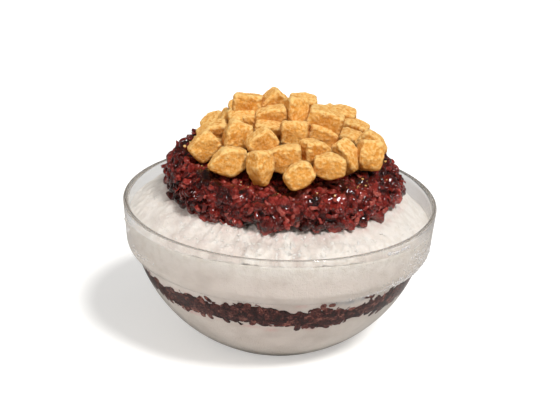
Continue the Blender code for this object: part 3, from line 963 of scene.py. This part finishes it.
def crushed(point):
    """How far crushed beans stand out at a point, in millimetres, and their tone, with painted shade in the
    creases.
    """
    smooth = min(1.0, max(0.0, 0.5 + 2.2 * noise.noise(point * 60.0 + Vector((0.0, 5.0, 0.0)))))
    lump = noise.noise(point * 105.0)
    knob = noise.noise(point * 190.0)
    bent = point + 0.002 * Vector((noise.noise(point * 240.0), noise.noise(point * 250.0), knob))
    near, next_near = noise.voronoi(Vector((bent.x * 170.0, bent.y * 170.0, bent.z * 210.0)))[0][:2]
    bump = min(1.0, 1.3 * (next_near - near))
    fold = folded(point * 420.0, 4.0)
    fine = 0.6 * fold + 0.7 * noise.noise(point * 800.0)
    height = 2.8 * lump + 1.9 * knob + 1.8 * bump + (1.0 - 0.7 * smooth) * fine
    # Painted shade: the tone follows the relief, darker in the creases and lighter on domes and crests.
    tone = 0.22 + 0.26 * bump + 0.20 * fold * (1.0 - smooth) + 0.45 * noise.noise(point * 150.0 + Vector((9.0, 0.0, 0.0)))
    return height, tone


HANG_OUT = 3.8 * MM
HANG_DOWN = 2.7 * MM
LEFT_PULL = 1.7 * MM
SINK = 2.4 * MM


def heap_tone_with_painted_light(point):
    """Darker and redder areas over the heap, and a painted light: lighter and redder towards its right."""
    return min(max(1.02 + 1.1 * noise.noise(point * 75.0) + 0.2 * point.x / (60 * MM), 0.35), 1.5)


def bean_core():
    """Crushed beans, a little smaller than the whole cap, with a painted light on the foot and towards the right.
    """
    piece = merged_copy("bean_cap", "bean_paste")
    apply_modifier(piece, "even", "REMESH", mode="VOXEL", voxel_size=0.85 * MM)
    apply_modifier(piece, "smooth", "SMOOTH", factor=0.5, iterations=8)
    points = get_points(piece)
    normals = point_normals(piece)
    found = [crushed(Vector(p)) for p in points]
    heights = np.array([height for height, _ in found])
    points = points + normals * ((heights - 1.9) * MM)[:, None]
    r, angle = polar(points)
    waves = np.array([round_wave(a, 46.0, 7.0) for a in angle])
    foot = np.clip((CAP_FOOT_Z + 5 * MM - points[:, 2]) / (5 * MM), 0.0, 1.0) * np.clip(waves + 0.05, 0.0, 0.6)
    points[:, :2] *= 1 + (HANG_OUT * foot / np.maximum(r, MM))[:, None]
    points[:, 2] -= HANG_DOWN * foot + SINK * np.clip((CAP_FOOT_Z + 4 * MM - points[:, 2]) / (4 * MM), 0.0, 1.0)
    points[:, 0] += LEFT_PULL * np.clip(-points[:, 0] / (60 * MM), 0.0, 1.0) ** 2
    set_points(piece, points)
    only(piece)
    bpy.ops.object.shade_smooth()
    # Painted light: the foot, which lies in shade on the ice, gets a light red tone.
    low = np.clip((CAP_FOOT_Z + 2 * MM - points[:, 2]) / (3 * MM), 0.0, 1.0)
    areas = np.array([heap_tone_with_painted_light(Vector(p)) for p in points])
    set_tone(piece, np.array([tone for _, tone in found]) * areas * (1 - low) + 0.85 * low)
    return piece


bean_paste = dressed(bean_core(), "red_beans", BEANS, "bean_cap")
print(f"the bean paste has {len(bean_paste.data.polygons)} faces")

# %% [markdown]
# ## Whole beans, halves, crushed beans and skins
# Each kind starts as a small sphere or a grid and is shaped in edit mode. A whole bean is long and dented on
# one side, a half is cut off flat, a crushed bean is a crumpled lump, and a skin is a thin folded patch.


# %% Model the kinds of bean
def small_sphere(name, segments, rings, radii):
    """A sphere of few faces, pulled to three radii."""
    bpy.ops.object.select_all(action="DESELECT")
    bpy.ops.mesh.primitive_uv_sphere_add(segments=segments, ring_count=rings, radius=1.0)
    piece = named(name)
    bpy.ops.object.mode_set(mode="EDIT")
    bpy.ops.mesh.select_all(action="SELECT")
    bpy.ops.transform.resize(value=radii, center_override=(0.0, 0.0, 0.0))
    bpy.ops.object.mode_set(mode="OBJECT")
    return piece


def whole_bean():
    """A long bean with a dent on one side."""
    piece = small_sphere("bean_model", 9, 8, (3.2 * MM, 2.1 * MM, 1.9 * MM))
    points = get_points(piece)
    middle = np.exp(-((points[:, 0] / (1.5 * MM)) ** 2))
    points[:, 1] -= 0.5 * MM * middle * (points[:, 1] > 0)
    set_points(piece, points)
    return piece


def half_bean():
    """A bean split lengthwise, its cut side slightly hollow."""
    piece = small_sphere("half_model", 9, 6, (3.2 * MM, 2.1 * MM, 1.6 * MM))
    points = get_points(piece)
    under = points[:, 2] < -0.1 * MM
    points[under, 2] *= -0.25
    set_points(piece, points)
    return piece


def crushed_bean():
    """A crumpled lump of crushed bean."""
    piece = small_sphere("crushed_model", 11, 8, (3.1 * MM, 2.0 * MM, 1.3 * MM))
    points = get_points(piece)
    for k, p in enumerate(points):
        crumple = Vector(p) * 420.0
        points[k] += 1.3 * MM * np.array(noise.noise_vector(crumple))
    set_points(piece, points)
    return piece


def bean_skin():
    """A thin folded patch of skin."""
    bpy.ops.object.select_all(action="DESELECT")
    bpy.ops.mesh.primitive_grid_add(x_subdivisions=5, y_subdivisions=3, size=1.0)
    piece = named("skin_model")
    bpy.ops.object.mode_set(mode="EDIT")
    bpy.ops.mesh.select_all(action="SELECT")
    bpy.ops.transform.resize(value=(5.4 * MM, 2.6 * MM, 1.0), center_override=(0.0, 0.0, 0.0))
    bpy.ops.object.mode_set(mode="OBJECT")
    points = get_points(piece)
    x, y = points[:, 0] / MM, points[:, 1] / MM
    points[:, 2] = (0.7 - 0.10 * x**2 - 0.30 * y**2 + 0.35 * np.sin(1.7 * x + y)) * MM
    points[:, 1] += 0.4 * MM * np.sin(1.1 * x)
    set_points(piece, points)
    apply_modifier(piece, "skin", "SOLIDIFY", thickness=0.25 * MM, offset=0.0)
    return piece


# %% [markdown]
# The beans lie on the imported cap's own surface, sunk a little, so that the heap keeps its outline. They are
# denser down the side, which shows most, and sparser under the rice cakes. None lies on the underside.

# %% Scatter the beans
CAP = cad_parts["bean_cap"]
CAP_MIDDLE = 46.0 * MM


def bean_weight(centre, facing):
    """Beans cover the side and the shoulder, fewer in the covered middle and none underneath."""
    r = np.hypot(centre[:, 0], centre[:, 1])
    outside = np.where(r > CAP_MIDDLE, 1.0, 0.35)
    under = (facing[:, 2] < -0.45) | (centre[:, 2] < CAP_FOOT_Z - 2 * MM)
    return outside * ~under


def bean_kind(name, model, seed, count, gap, sink, tilt, low_tone, high_tone):
    """Scatters one kind of bean over the cap."""
    rng = np.random.default_rng(seed)
    places, facing = drawn_places(CAP, count, rng, bean_weight)
    places, facing = spread(places, facing, gap)
    places = places - facing * (sink + rng.normal(0.0, 0.45 * MM, (len(places), 1)))
    sizes = rng.uniform(0.78, 1.12, (len(places), 1)) * rng.uniform(0.88, 1.12, (len(places), 3))
    # The heap's tone includes a painted light, lighter and redder towards the right.
    areas = np.array([heap_tone_with_painted_light(Vector(place)) for place in places])
    tones = rng.uniform(low_tone, high_tone, len(places)) * areas
    piece = repeated(name, model, places, lying_turns(facing, rng, tilt), sizes, tones)
    dressed(piece, "red_beans", BEANS)
    print(f"{name}: {len(places)} copies, {len(piece.data.polygons)} faces")
    return piece


whole_beans = bean_kind("whole_beans", whole_bean(), 1, 700, 9.0 * MM, 1.6 * MM, 0.35, 0.2, 0.6)
half_beans = bean_kind("half_beans", half_bean(), 2, 500, 11.0 * MM, 1.1 * MM, 0.5, 0.3, 0.8)
crushed_beans = bean_kind("crushed_beans", crushed_bean(), 3, 1500, 6.0 * MM, 1.7 * MM, 0.6, 0.2, 0.7)
bean_skins = bean_kind("bean_skins", bean_skin(), 4, 2600, 4.6 * MM, 1.2 * MM, 0.4, 0.3, 1.0)

# %% [markdown]
# ## Beans at the glass
# Single beans show at the glass all round the bean layer, and they make its edges knobbly. They are the same
# kinds of bean, laid on the wall. Whatever would poke through the glass is pressed flat against it.

# %% Press beans on the glass
PRESSED_REACH = 0.55 * MM
LOOSE_BEANS = ((-70.8, 46.9, 0.8), (-67.2, 47.6, 0.95), (-51.5, 48.8, 0.6), (-48.5, 49.6, 0.55),
               (-118.0, 47.0, 0.5))


def pressed_beans(name, model, seed, count, gap, small, large, low_tone, high_tone, extra=()):
    """Lays beans on the wall between the edges of the bean layer and flattens them on the glass."""
    rng = np.random.default_rng(seed)
    angles = rng.uniform(-math.pi, math.pi, count)
    edges = np.array([bean_edges(a) for a in angles])
    share = np.clip(rng.uniform(-0.04, 1.06, count), -0.03, 1.05)
    heights = edges[:, 0] + (edges[:, 1] - edges[:, 0]) * share
    tones = rng.uniform(low_tone, high_tone, count)
    angles = np.concatenate([[math.radians(a) for a, _, _ in extra], angles])
    heights = np.concatenate([[z * MM for _, z, _ in extra], heights])
    tones = np.concatenate([[tone for _, _, tone in extra], tones])
    r = wall_radius(heights, -0.7 * MM)
    places = np.stack([r * np.cos(angles), r * np.sin(angles), heights], axis=1)
    facing = np.stack([np.cos(angles), np.sin(angles), np.full(len(angles), -0.5)], axis=1)
    order = {tuple(place): tone for place, tone in zip(places, tones)}
    places, facing = spread(places, facing, gap)
    tones = np.array([order[tuple(place)] for place in places])
    sizes = rng.uniform(small, large, (len(places), 1)) * rng.uniform(0.85, 1.15, (len(places), 3))
    piece = repeated(name, model, places, lying_turns(facing, rng, 0.15), sizes, tones)
    points = get_points(piece)
    r = np.hypot(points[:, 0], points[:, 1])
    limit = wall_radius(points[:, 2], PRESSED_REACH - REACH)
    points[:, :2] *= np.minimum(1.0, limit / r)[:, None]
    set_points(piece, points)
    print(f"{name}: {len(places)} copies, {len(piece.data.polygons)} faces")
    return dressed(piece, "red_beans", LAYER)


beans_at_glass = pressed_beans("beans_at_glass", whole_bean(), 21, 800, 3.4 * MM, 0.8, 1.2, 0.15, 0.75, LOOSE_BEANS)
bits_at_glass = pressed_beans("bits_at_glass", crushed_bean(), 22, 1200, 2.4 * MM, 0.45, 0.8, 0.1, 0.95)

# %% [markdown]
# ## Roasted soybean powder
# The rice cakes are rolled in powder that is golden and quite matt. It is thicker and paler in clumps, paler
# where its surface bends outwards, paler still on faces that look up, which is a painted light, and browner on
# faces that look down, which is a painted shade. Each mesh stores two marks for that: edge, where its surface
# bends outwards and where it looks up, and under, where it faces down.


# %% Powder finish
def powder_finish():
    """Golden powder in patches, paler on clumps and edges, with painted light on top and a browner painted shade
    below.
    """
    finish, tree, shader = new_finish("roasted_soybean_powder", Roughness=0.92, Specular_IOR_Level=0.2)
    body = use_group(tree, PATCHES, (-1500, 200), First=(0.79, 0.315, 0.048, 1), Second=(0.90, 0.42, 0.085, 1),
                     Scale=160.0, Low=0.35, High=0.7)
    clumps = use_group(tree, PATCHES, (-1500, -150), Scale=850.0, Low=0.44, High=0.62, Detail=2.5)
    # The edge mark holds the outward bends and a painted light on faces that look up.
    edge = add(tree, "ShaderNodeAttribute", (-1500, -450))
    edge.attribute_name = "edge"
    paler = add(tree, "ShaderNodeMath", (-1200, -300))
    paler.operation = "MULTIPLY_ADD"
    paler.inputs[1].default_value = 0.42
    paler.use_clamp = True
    blend = add(tree, "ShaderNodeMix", (-900, 100))
    blend.data_type = "RGBA"
    blend.inputs["B"].default_value = (1.0, 0.66, 0.25, 1)
    grain = use_group(tree, GRAIN, (-600, -400), Coarse=750.0, Fine=1900.0, Depth=0.0011)
    link = tree.links.new
    link(clumps.outputs["Mask"], paler.inputs[0])
    link(edge.outputs["Fac"], paler.inputs[2])
    link(paler.outputs["Value"], blend.inputs["Factor"])
    link(body.outputs["Colour"], blend.inputs["A"])
    # Painted shade: browner where the surface faces down.
    colour = mark_mix(tree, "under", (0.47, 0.145, 0.015, 1), (-650, 200), blend.outputs["Result"])
    link(colour, shader.inputs["Base Color"])
    link(grain.outputs["Normal"], shader.inputs["Normal"])
    return finish


POWDER = powder_finish()

# %% [markdown]
# ## The rice cakes
# Each rice cake is cut from a soft strip, so it is a short block with rounded edges, often pinched at one or both
# ends. It could be a copy of its solid, but a block made for its own place shows its faces and corners better.
# Every row below belongs to one solid: how far the cake has settled from the solid's middle in millimetres, its
# size, its turn in degrees, and how much its left and right end are pinched.

# %% Places, sizes and turns of the rice cakes
CAKES = {
    "01": ((-2.2, -0.7, 1.1), (15.5, 12, 13), (-15, 42, -21), (0.15, 0.2)),
    "02": ((-6.4, -0.8, 3.9), (14.4, 12, 12), (2, 15, -6), (0.12, 0.2)),
    "03": ((0, 0, 0), (14.5, 12.5, 12.5), (10, 18, -29), (0.1, 0.1)),
    "04": ((0, 0, 0), (14.5, 12.5, 12.5), (18, -2, 0), (0.1, 0.1)),
    "05": ((0, 0, 0), (14.5, 12.5, 12.5), (7, -13, 28), (0.1, 0.1)),
    "06": ((0, 0, 0), (14.5, 12.5, 12.5), (-27, -14, -7), (0.1, 0.1)),
    "07": ((-4.6, -3.3, -2.1), (13.5, 12, 11.5), (5, -30, 13), (0.2, 0.1)),
    "08": ((-0.4, -0.7, -0.6), (17.6, 12, 12.6), (2, -15, 6), (0.35, 0.1)),
    "09": ((3.7, -0.8, 0.1), (15.4, 13, 13.6), (-21, -43, 22), (0.18, 0.12)),
    "10": ((0, 13.6, -5.5), (14.5, 12.5, 12.5), (4, -6, -23), (0.1, 0.1)),
    "11": ((-5.4, 4.9, -1.8), (21.2, 13.6, 15), (-15, -14, 15), (0.8, 0.4)),
    "12": ((-2, 0.3, -1.9), (18.4, 11.4, 11.6), (-65, -67, 104), (0.72, 0.08)),
    "13": ((-3.6, -5.2, -0.3), (15.4, 12.6, 12.8), (-19, -33, 15), (0.32, 0.3)),
    "14": ((-5, -5.8, 2.2), (16.6, 12.8, 12.4), (-8, 2, -1), (0.3, 0.34)),
    "15": ((1.2, 1.6, 1.8), (16.2, 13, 14), (-69, -68, 80), (0.3, 0.18)),
    "16": ((2.3, -2.7, -0.2), (14, 12, 12), (8, 9, -4), (0.12, 0.12)),
    "17": ((1.6, 0.2, 6.3), (14, 12, 12), (8, 7, -3), (0.1, 0.15)),
    "18": ((0, 0, 0), (14.5, 12.5, 12.5), (-28, -30, -28), (0.1, 0.1)),
    "19": ((0, 0, 0), (14.5, 12.5, 12.5), (-22, 29, -19), (0.1, 0.1)),
    "20": ((-3.5, -1, 3.9), (12.5, 12, 12), (-21, -55, 35), (0.1, 0.1)),
    "21": ((3, -4, 5.2), (15.6, 13, 13.6), (-36, -61, 46), (0.22, 0.1)),
    "22": ((6, -0.2, 7.5), (15.6, 13, 13.4), (-11, -40, 20), (0.2, 0.22)),
    "23": ((2.1, -4.2, 0.2), (16.4, 13, 14.2), (-10, -6, 2), (0.24, 0.06)),
    "24": ((0.6, -4, 3.3), (15, 13, 12.8), (-8, 10, 26), (0.05, 0.34)),
    "25": ((0.8, -6.7, -0.9), (18, 12, 12.4), (6, 48, -27), (0.2, 0.38)),
    "26": ((0, 0, 0), (14.5, 12.5, 12.5), (9, 15, -16), (0.1, 0.1)),
    "27": ((0, 0, 0), (14.5, 12.5, 12.5), (-14, -4, -15), (0.1, 0.1)),
    "28": ((2.3, 2.6, 4.2), (15.6, 12, 13), (3, 7, -3), (0.15, 0.05)),
    "29": ((0, 0, 0), (14.5, 12.5, 12.5), (28, -20, 23), (0.1, 0.1)),
    "30": ((2, -4.6, 4.2), (15.6, 13, 12), (-7, 16, -7), (0.05, 0.25)),
    "31": ((0, 0, 0), (14.5, 12.5, 12.5), (17, 20, -24), (0.1, 0.1)),
    "32": ((6.4, -3.2, -1.9), (15, 12, 12), (8, 2, -1), (0.1, 0.15)),
    "33": ((-7.9, -5.1, 0.6), (16, 12, 11.6), (-10, 4, -2), (0.05, 0.02)),
    "34": ((-2.5, 1.6, 5.5), (14.8, 13, 12), (16, -10, 4), (0.05, 0.05)),
    "35": ((0, 18.5, -7.4), (14.5, 12.5, 12.5), (-7, 7, -1), (0.1, 0.1)),
    "36": ((2.9, 0.6, -5.6), (14.4, 13, 12.8), (-16, 0, 0), (0.02, 0.02)),
    "37": ((0.5, 6.7, -1.6), (19.2, 13, 13), (-7, 14, -6), (0.1, 0.1)),
    "38": ((1.5, 0, -3.2), (14.5, 12.5, 12.5), (9, 10, 9), (0.1, 0.1)),
    "39": ((-3.2, 4.3, -6.4), (17, 12, 11.6), (-4, -9, 3), (0.35, 0.05)),
    "40": ((-4.8, 1.3, 0.5), (14.6, 12, 11.6), (-76, -68, 96), (0.05, 0.05)),
    "41": ((-8.3, 2.4, 0.1), (13.6, 12, 13.2), (-10, -42, 21), (0.05, 0.05)),
}
BLOCK_CUTS = 23
ROUNDING = 1.5 * MM
SHRINK = 0.95
BULGE = 0.07


# %% Shape each rice cake
def block_shape(points, half, pinch):
    """A cube's points drawn into a block with round edges, bulging faces and pinched ends."""
    points = points * half
    core = np.clip(points, ROUNDING - half, half - ROUNDING)
    out = points - core
    points = core + ROUNDING * out / np.linalg.norm(out, axis=1)[:, None]
    share = (points / half) ** 2
    others = (share.sum(axis=1)[:, None] - share) / 2
    points = points * (1 + BULGE * (1 - others))
    along = points[:, 0] / half[0]
    left, right = (np.clip(side * along, 0.0, 1.0) ** 1.5 for side in (-1, 1))
    points[:, 2] *= 1 - pinch[0] * left - pinch[1] * right
    points[:, 1] *= 1 - 0.35 * (pinch[0] * left + pinch[1] * right)
    return points


CAKE_RELIEF = (
    ("dents", cloud("cake_dents", 6 * MM, 1), 1.2 * MM),
    ("clumps", cloud("cake_clumps", 2.2 * MM, 1), 0.4 * MM),
    ("grains", cloud("cake_grains", 1.4 * MM, 0), 0.4 * MM),
)


def store_edges(piece, low, high):
    """Stores per point, from 0 to 1, the outward bend with a painted light on top, and a painted shade below."""
    mesh = piece.data
    pairs = np.empty(len(mesh.edges) * 2, dtype=int)
    mesh.edges.foreach_get("vertices", pairs)
    a, b = pairs.reshape(-1, 2).T
    points = get_points(piece)
    normals = np.empty(len(points) * 3)
    mesh.vertices.foreach_get("normal", normals)
    normals = normals.reshape(-1, 3)
    total = np.zeros_like(points)
    count = np.zeros(len(points))
    for near, far in ((a, b), (b, a)):
        np.add.at(total, near, points[far])
        np.add.at(count, near, 1)
    drop = np.einsum("ij,ij->i", points - total / count[:, None], normals)
    for _ in range(2):
        sums = np.zeros(len(points))
        np.add.at(sums, a, drop[b])
        np.add.at(sums, b, drop[a])
        drop = 0.4 * drop + 0.6 * sums / count
    # The edge mark adds a painted light on faces that look up.
    store_mark(piece, "edge", (drop - low) / (high - low) + 0.4 * np.clip(normals[:, 2], 0.0, 1.0) ** 2)
    # Painted shade: the under mark rises on faces that look down.
    store_mark(piece, "under", np.clip((0.45 - normals[:, 2]) / 0.9, 0.0, 0.9))


def soft_cake(number):
    """A rice cake at its solid's place: a soft block rolled in powder."""
    node = f"rice_cake_{number}"
    nudge, size, turn, pinch = CAKES[number]
    low, high = (np.array(corner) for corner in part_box(node))
    bpy.ops.object.select_all(action="DESELECT")
    bpy.ops.mesh.primitive_cube_add(size=2.0)
    piece = named(f"soft_cake_{number}")
    bpy.ops.object.mode_set(mode="EDIT")
    bpy.ops.mesh.select_all(action="SELECT")
    bpy.ops.mesh.subdivide(number_cuts=BLOCK_CUTS)
    bpy.ops.object.mode_set(mode="OBJECT")
    points = block_shape(get_points(piece), np.array(size) * SHRINK * MM / 2, pinch)
    lay = np.array(Matrix.Rotation(math.radians(turn[2]), 3, "Z")
                   @ Matrix.Rotation(math.radians(turn[1]), 3, "Y")
                   @ Matrix.Rotation(math.radians(turn[0]), 3, "X"))
    set_points(piece, points @ lay.T + (low + high) / 2 + np.array(nudge) * MM)
    for name, texture, depth in CAKE_RELIEF:
        apply_modifier(piece, name, "DISPLACE", texture=texture, strength=depth, mid_level=0.5)
    only(piece)
    bpy.ops.object.shade_smooth()
    store_edges(piece, 0.008 * MM, 0.07 * MM)
    return dressed(piece, "soybean_powder", POWDER, node)


cake_pieces = [soft_cake(number) for number in sorted(CAKES)]
print(f"{len(cake_pieces)} rice cakes, {sum(len(c.data.polygons) for c in cake_pieces)} faces")

# %% [markdown]
# ## Clumps and crumbs
# Soft clumps of flakes lie on the ice's slope, and crumbs of powder have fallen on the beans round the rice
# cakes. Both are tiny, so a low sphere is enough. The crumbs are dropped from above on to the beans, so the
# place of each is found with a ray that goes straight down.


# %% Scatter the clumps of ice
def ice_clumps():
    """Soft clumps of flakes, half sunk in the ice that shows."""
    rng = np.random.default_rng(11)

    def shown(centre, facing):
        r = np.hypot(centre[:, 0], centre[:, 1])
        front = np.maximum(0.0, -centre[:, 1] / r) ** 3
        return ((r > 60 * MM) & (r < 79 * MM) & (facing[:, 2] > 0.2)) * (0.15 + front)

    places, facing = drawn_places(upper_ice_piece, 420, rng, shown)
    places = places - facing * 0.3 * MM
    model = small_sphere("clump_model", 7, 5, (1.5 * MM, 0.9 * MM, 0.6 * MM))
    sizes = rng.uniform(0.35, 1.1, (len(places), 1)) * rng.uniform(0.8, 1.2, (len(places), 3))
    piece = repeated("ice_clumps", model, places, lying_turns(facing, rng, 0.25), sizes)
    return dressed(piece, "milk_ice", ICE)


loose_ice = ice_clumps()
print(f"the clumps have {len(loose_ice.data.polygons)} faces")


# %% Drop the crumbs
def crumbs():
    """Crumbs of powder on the beans round the rice cakes."""
    rng = np.random.default_rng(12)
    graph = bpy.context.evaluated_depsgraph_get()
    grounds = [BVHTree.FromObject(piece, graph) for piece in (bean_paste, whole_beans, half_beans, crushed_beans)]
    cakes = [BVHTree.FromObject(piece, graph) for piece in cake_pieces]
    places = []
    above = cad_box[1][2] + 10 * MM
    while len(places) < 85:
        angle = rng.uniform(0.0, math.tau)
        reach = rng.normal(50.6, 2.8) * MM
        start = Vector((reach * math.cos(angle) + 2 * MM, reach * math.sin(angle), above))
        down = Vector((0.0, 0.0, -1.0))
        hits = [ground.ray_cast(start, down)[0] for ground in grounds]
        hits = [hit for hit in hits if hit is not None]
        covered = any(cake.ray_cast(start, down)[0] is not None for cake in cakes)
        if hits and not covered:
            places.append(max(hits, key=lambda hit: hit.z))
    places = np.array(places)
    model = small_sphere("crumb_model", 7, 5, (0.6 * MM, 0.5 * MM, 0.4 * MM))
    sizes = rng.uniform(0.3, 1.5, (len(places), 1)) * rng.uniform(0.7, 1.3, (len(places), 3))
    facing = np.tile((0.0, 0.0, 1.0), (len(places), 1))
    piece = repeated("powder_crumbs", model, places, lying_turns(facing, rng, 0.9), sizes)
    # The crumbs get the same painted light on top and painted shade below as the rice cakes.
    store_edges(piece, -1.0 * MM, 1.0 * MM)
    return dressed(piece, "soybean_powder", POWDER)


powder_crumbs = crumbs()
print(f"the crumbs have {len(powder_crumbs.data.polygons)} faces")

# %% [markdown]
# ## Dew on the glass
# The cold bowl gathers dew, most of it on the right of the band and on the step below it. The drops are low
# domes of clear water, modelled once with few faces, laid on the glass's outside and copied in a few spots.


# %% Lay the dew on the glass
DEW_SPOTS = (
    (-38.0, 53.5, 9.0, 2.6, 150, 0.8), (-24.0, 57.0, 8.0, 4.5, 110, 0.8), (-54.0, 50.5, 8.0, 1.2, 80, 0.7),
    (-43.0, 73.6, 5.5, 0.4, 18, 1.7), (-27.0, 65.0, 6.0, 5.0, 40, 0.9), (-152.0, 58.0, 7.0, 2.5, 40, 0.8),
    (-163.0, 66.0, 5.0, 3.0, 18, 1.0),
)
outer_heights = [z for r, z in glass_outline[glass_outline.index(max(glass_outline)):] if z > 2 * MM][::-1]
outer_radii = [r for r, z in glass_outline[glass_outline.index(max(glass_outline)):] if z > 2 * MM][::-1]


def dew():
    """Tiny drops in soft-edged spots: angle, height, spread along and up in degrees and mm, count, size."""
    rng = np.random.default_rng(31)
    places, facing, sizes = [], [], []
    for middle, height, wide, high, count, size in DEW_SPOTS:
        for _ in range(count):
            angle = math.radians(middle + wide * rng.normal() / 1.5)
            z = (height + high * rng.normal() / 1.5) * MM
            r = float(np.interp(z, outer_heights, outer_radii))
            below = float(np.interp(z - 0.5 * MM, outer_heights, outer_radii))
            out = Vector((0.5 * MM, 0.0, r - below)).normalized()
            places.append((r * math.cos(angle), r * math.sin(angle), z))
            facing.append((out.x * math.cos(angle), out.x * math.sin(angle), -out.z))
            sizes.append(size * rng.uniform(0.5, 1.3))
    places, facing = np.array(places), np.array(facing)
    model = small_sphere("dew_model", 10, 8, (0.5 * MM, 0.5 * MM, 0.42 * MM))
    sizes = np.array(sizes)[:, None] * np.ones(3)
    piece = repeated("dew_drops", model, places, lying_turns(facing, rng, 0.05), sizes)
    # The drops let through only part of the light and are whitish for the rest: a painted light in their cores.
    return dressed(piece, "clear_glass", clear_finish("clear_water", 1.33, (0.88, 0.87, 0.87), 0.8))


dew_drops = dew()
print(f"the dew has {len(dew_drops.data.polygons)} faces")

# %% [markdown]
# ## Table, light and camera
# A plain white floor and soft white light from above suit white food in clear glass. A far lamp above on the right
# models the heap and puts highlights on the beans, and a very soft one in front fills the shadows. The camera
# looks down a little, from far enough away that the bowl's rim is hardly stretched.


# %% Floor
def floor():
    """A wide pale floor that glows a little in plain view and is greyer in mirrored light."""
    bpy.ops.object.select_all(action="DESELECT")
    bpy.ops.mesh.primitive_plane_add(size=6.0, location=(0.0, 0.0, -0.0002))
    piece = named("floor")
    bpy.ops.object.transform_apply(location=True, rotation=True, scale=True)
    finish, tree, shader = new_finish(
        "floor_white", Roughness=0.7, Specular_IOR_Level=0.1, Emission_Color=(1, 1, 1, 1)
    )
    path = add(tree, "ShaderNodeLightPath", (-700, 200))
    shade = use_group(tree, PATCHES, (-700, -200), First=(0.80, 0.79, 0.775, 1), Second=(0.78, 0.77, 0.755, 1),
                      Scale=3.0)
    blend = add(tree, "ShaderNodeMix", (-300, 0))
    blend.data_type = "RGBA"
    blend.inputs["B"].default_value = (0.34, 0.33, 0.32, 1)
    plain = add(tree, "ShaderNodeMath", (-500, -300))
    plain.operation = "MAXIMUM"
    glow = add(tree, "ShaderNodeMath", (-300, -300))
    glow.operation = "MULTIPLY"
    glow.inputs[1].default_value = 0.3
    link = tree.links.new
    link(path.outputs["Is Glossy Ray"], blend.inputs["Factor"])
    link(path.outputs["Is Camera Ray"], plain.inputs[0])
    link(path.outputs["Is Transmission Ray"], plain.inputs[1])
    link(plain.outputs["Value"], glow.inputs[0])
    link(glow.outputs["Value"], shader.inputs["Emission Strength"])
    link(shade.outputs["Colour"], blend.inputs["A"])
    link(blend.outputs["Result"], shader.inputs["Base Color"])
    piece.data.materials.append(finish)
    return piece


floor_piece = floor()


# %% Light
HORIZON = 0.14
ZENITH = 0.46
MIRRORED = 0.25


def lamp(name, direction, strength, spread_angle, glints=True):
    """A far soft lamp that shines from a direction; without glints it isn't seen in mirrored light."""
    light = bpy.data.lights.new(name, "SUN")
    light.energy = strength
    light.angle = math.radians(spread_angle)
    obj = bpy.data.objects.new(name, light)
    obj.rotation_euler = Vector(direction).to_track_quat("Z", "Y").to_euler()
    obj.visible_glossy = glints
    bpy.context.scene.collection.objects.link(obj)


lamp("key", (0.38, -0.44, 0.86), 2.85, 13.0)
lamp("front", (-0.68, -0.62, 0.40), 1.0, 45.0, glints=False)


def studio():
    """Even light, darker towards the horizon and in mirrored light, so that glass and syrup stay deep."""
    sky = bpy.data.worlds.new("studio")
    sky.use_nodes = True
    tree = sky.node_tree
    place = add(tree, "ShaderNodeTexCoord", (-900, 0))
    parts = add(tree, "ShaderNodeSeparateXYZ", (-700, 0))
    rise = add(tree, "ShaderNodeMapRange", (-500, 0))
    for key, value in (("From Min", -0.05), ("From Max", 0.65), ("To Min", HORIZON), ("To Max", ZENITH)):
        rise.inputs[key].default_value = value
    tree.links.new(place.outputs["Generated"], parts.inputs["Vector"])
    tree.links.new(parts.outputs["Z"], rise.inputs["Value"])
    path = add(tree, "ShaderNodeLightPath", (-500, -300))
    dim = add(tree, "ShaderNodeMapRange", (-300, -200), To_Min=1.0, To_Max=MIRRORED)
    strength = add(tree, "ShaderNodeMath", (-150, 0))
    strength.operation = "MULTIPLY"
    tree.links.new(path.outputs["Is Glossy Ray"], dim.inputs["Value"])
    tree.links.new(rise.outputs["Result"], strength.inputs[0])
    tree.links.new(dim.outputs["Result"], strength.inputs[1])
    tree.links.new(strength.outputs["Value"], tree.nodes["Background"].inputs["Strength"])
    tree.nodes["Background"].inputs["Color"].default_value = (1.0, 0.99, 0.975, 1)
    bpy.context.scene.world = sky


studio()

# %% Camera
ELEVATION = math.radians(21.9)
ROLL = math.radians(2.3)
DISTANCE = 1.0
SENSOR = 36.0
FRAME_WIDTH = 560.0


def camera():
    """The camera, aimed at the middle of the bowl's rim and shifted a little in its frame."""
    lens = bpy.data.cameras.new("camera")
    lens.lens = 118.36
    lens.sensor_width = SENSOR
    lens.shift_x = -0.1 / FRAME_WIDTH
    lens.shift_y = -12.3 / FRAME_WIDTH
    obj = bpy.data.objects.new("camera", lens)
    aim = Vector((0.0, 0.0, RIM_Z))
    ahead = Vector((0.0, math.cos(ELEVATION), -math.sin(ELEVATION)))
    turn = ahead.to_track_quat("-Z", "Y").to_matrix().to_4x4()
    obj.matrix_world = Matrix.Translation(aim - ahead * DISTANCE) @ turn @ Matrix.Rotation(ROLL, 4, "Z")
    bpy.context.scene.collection.objects.link(obj)
    bpy.context.scene.camera = obj


camera()
bpy.context.scene.view_settings.view_transform = "Standard"
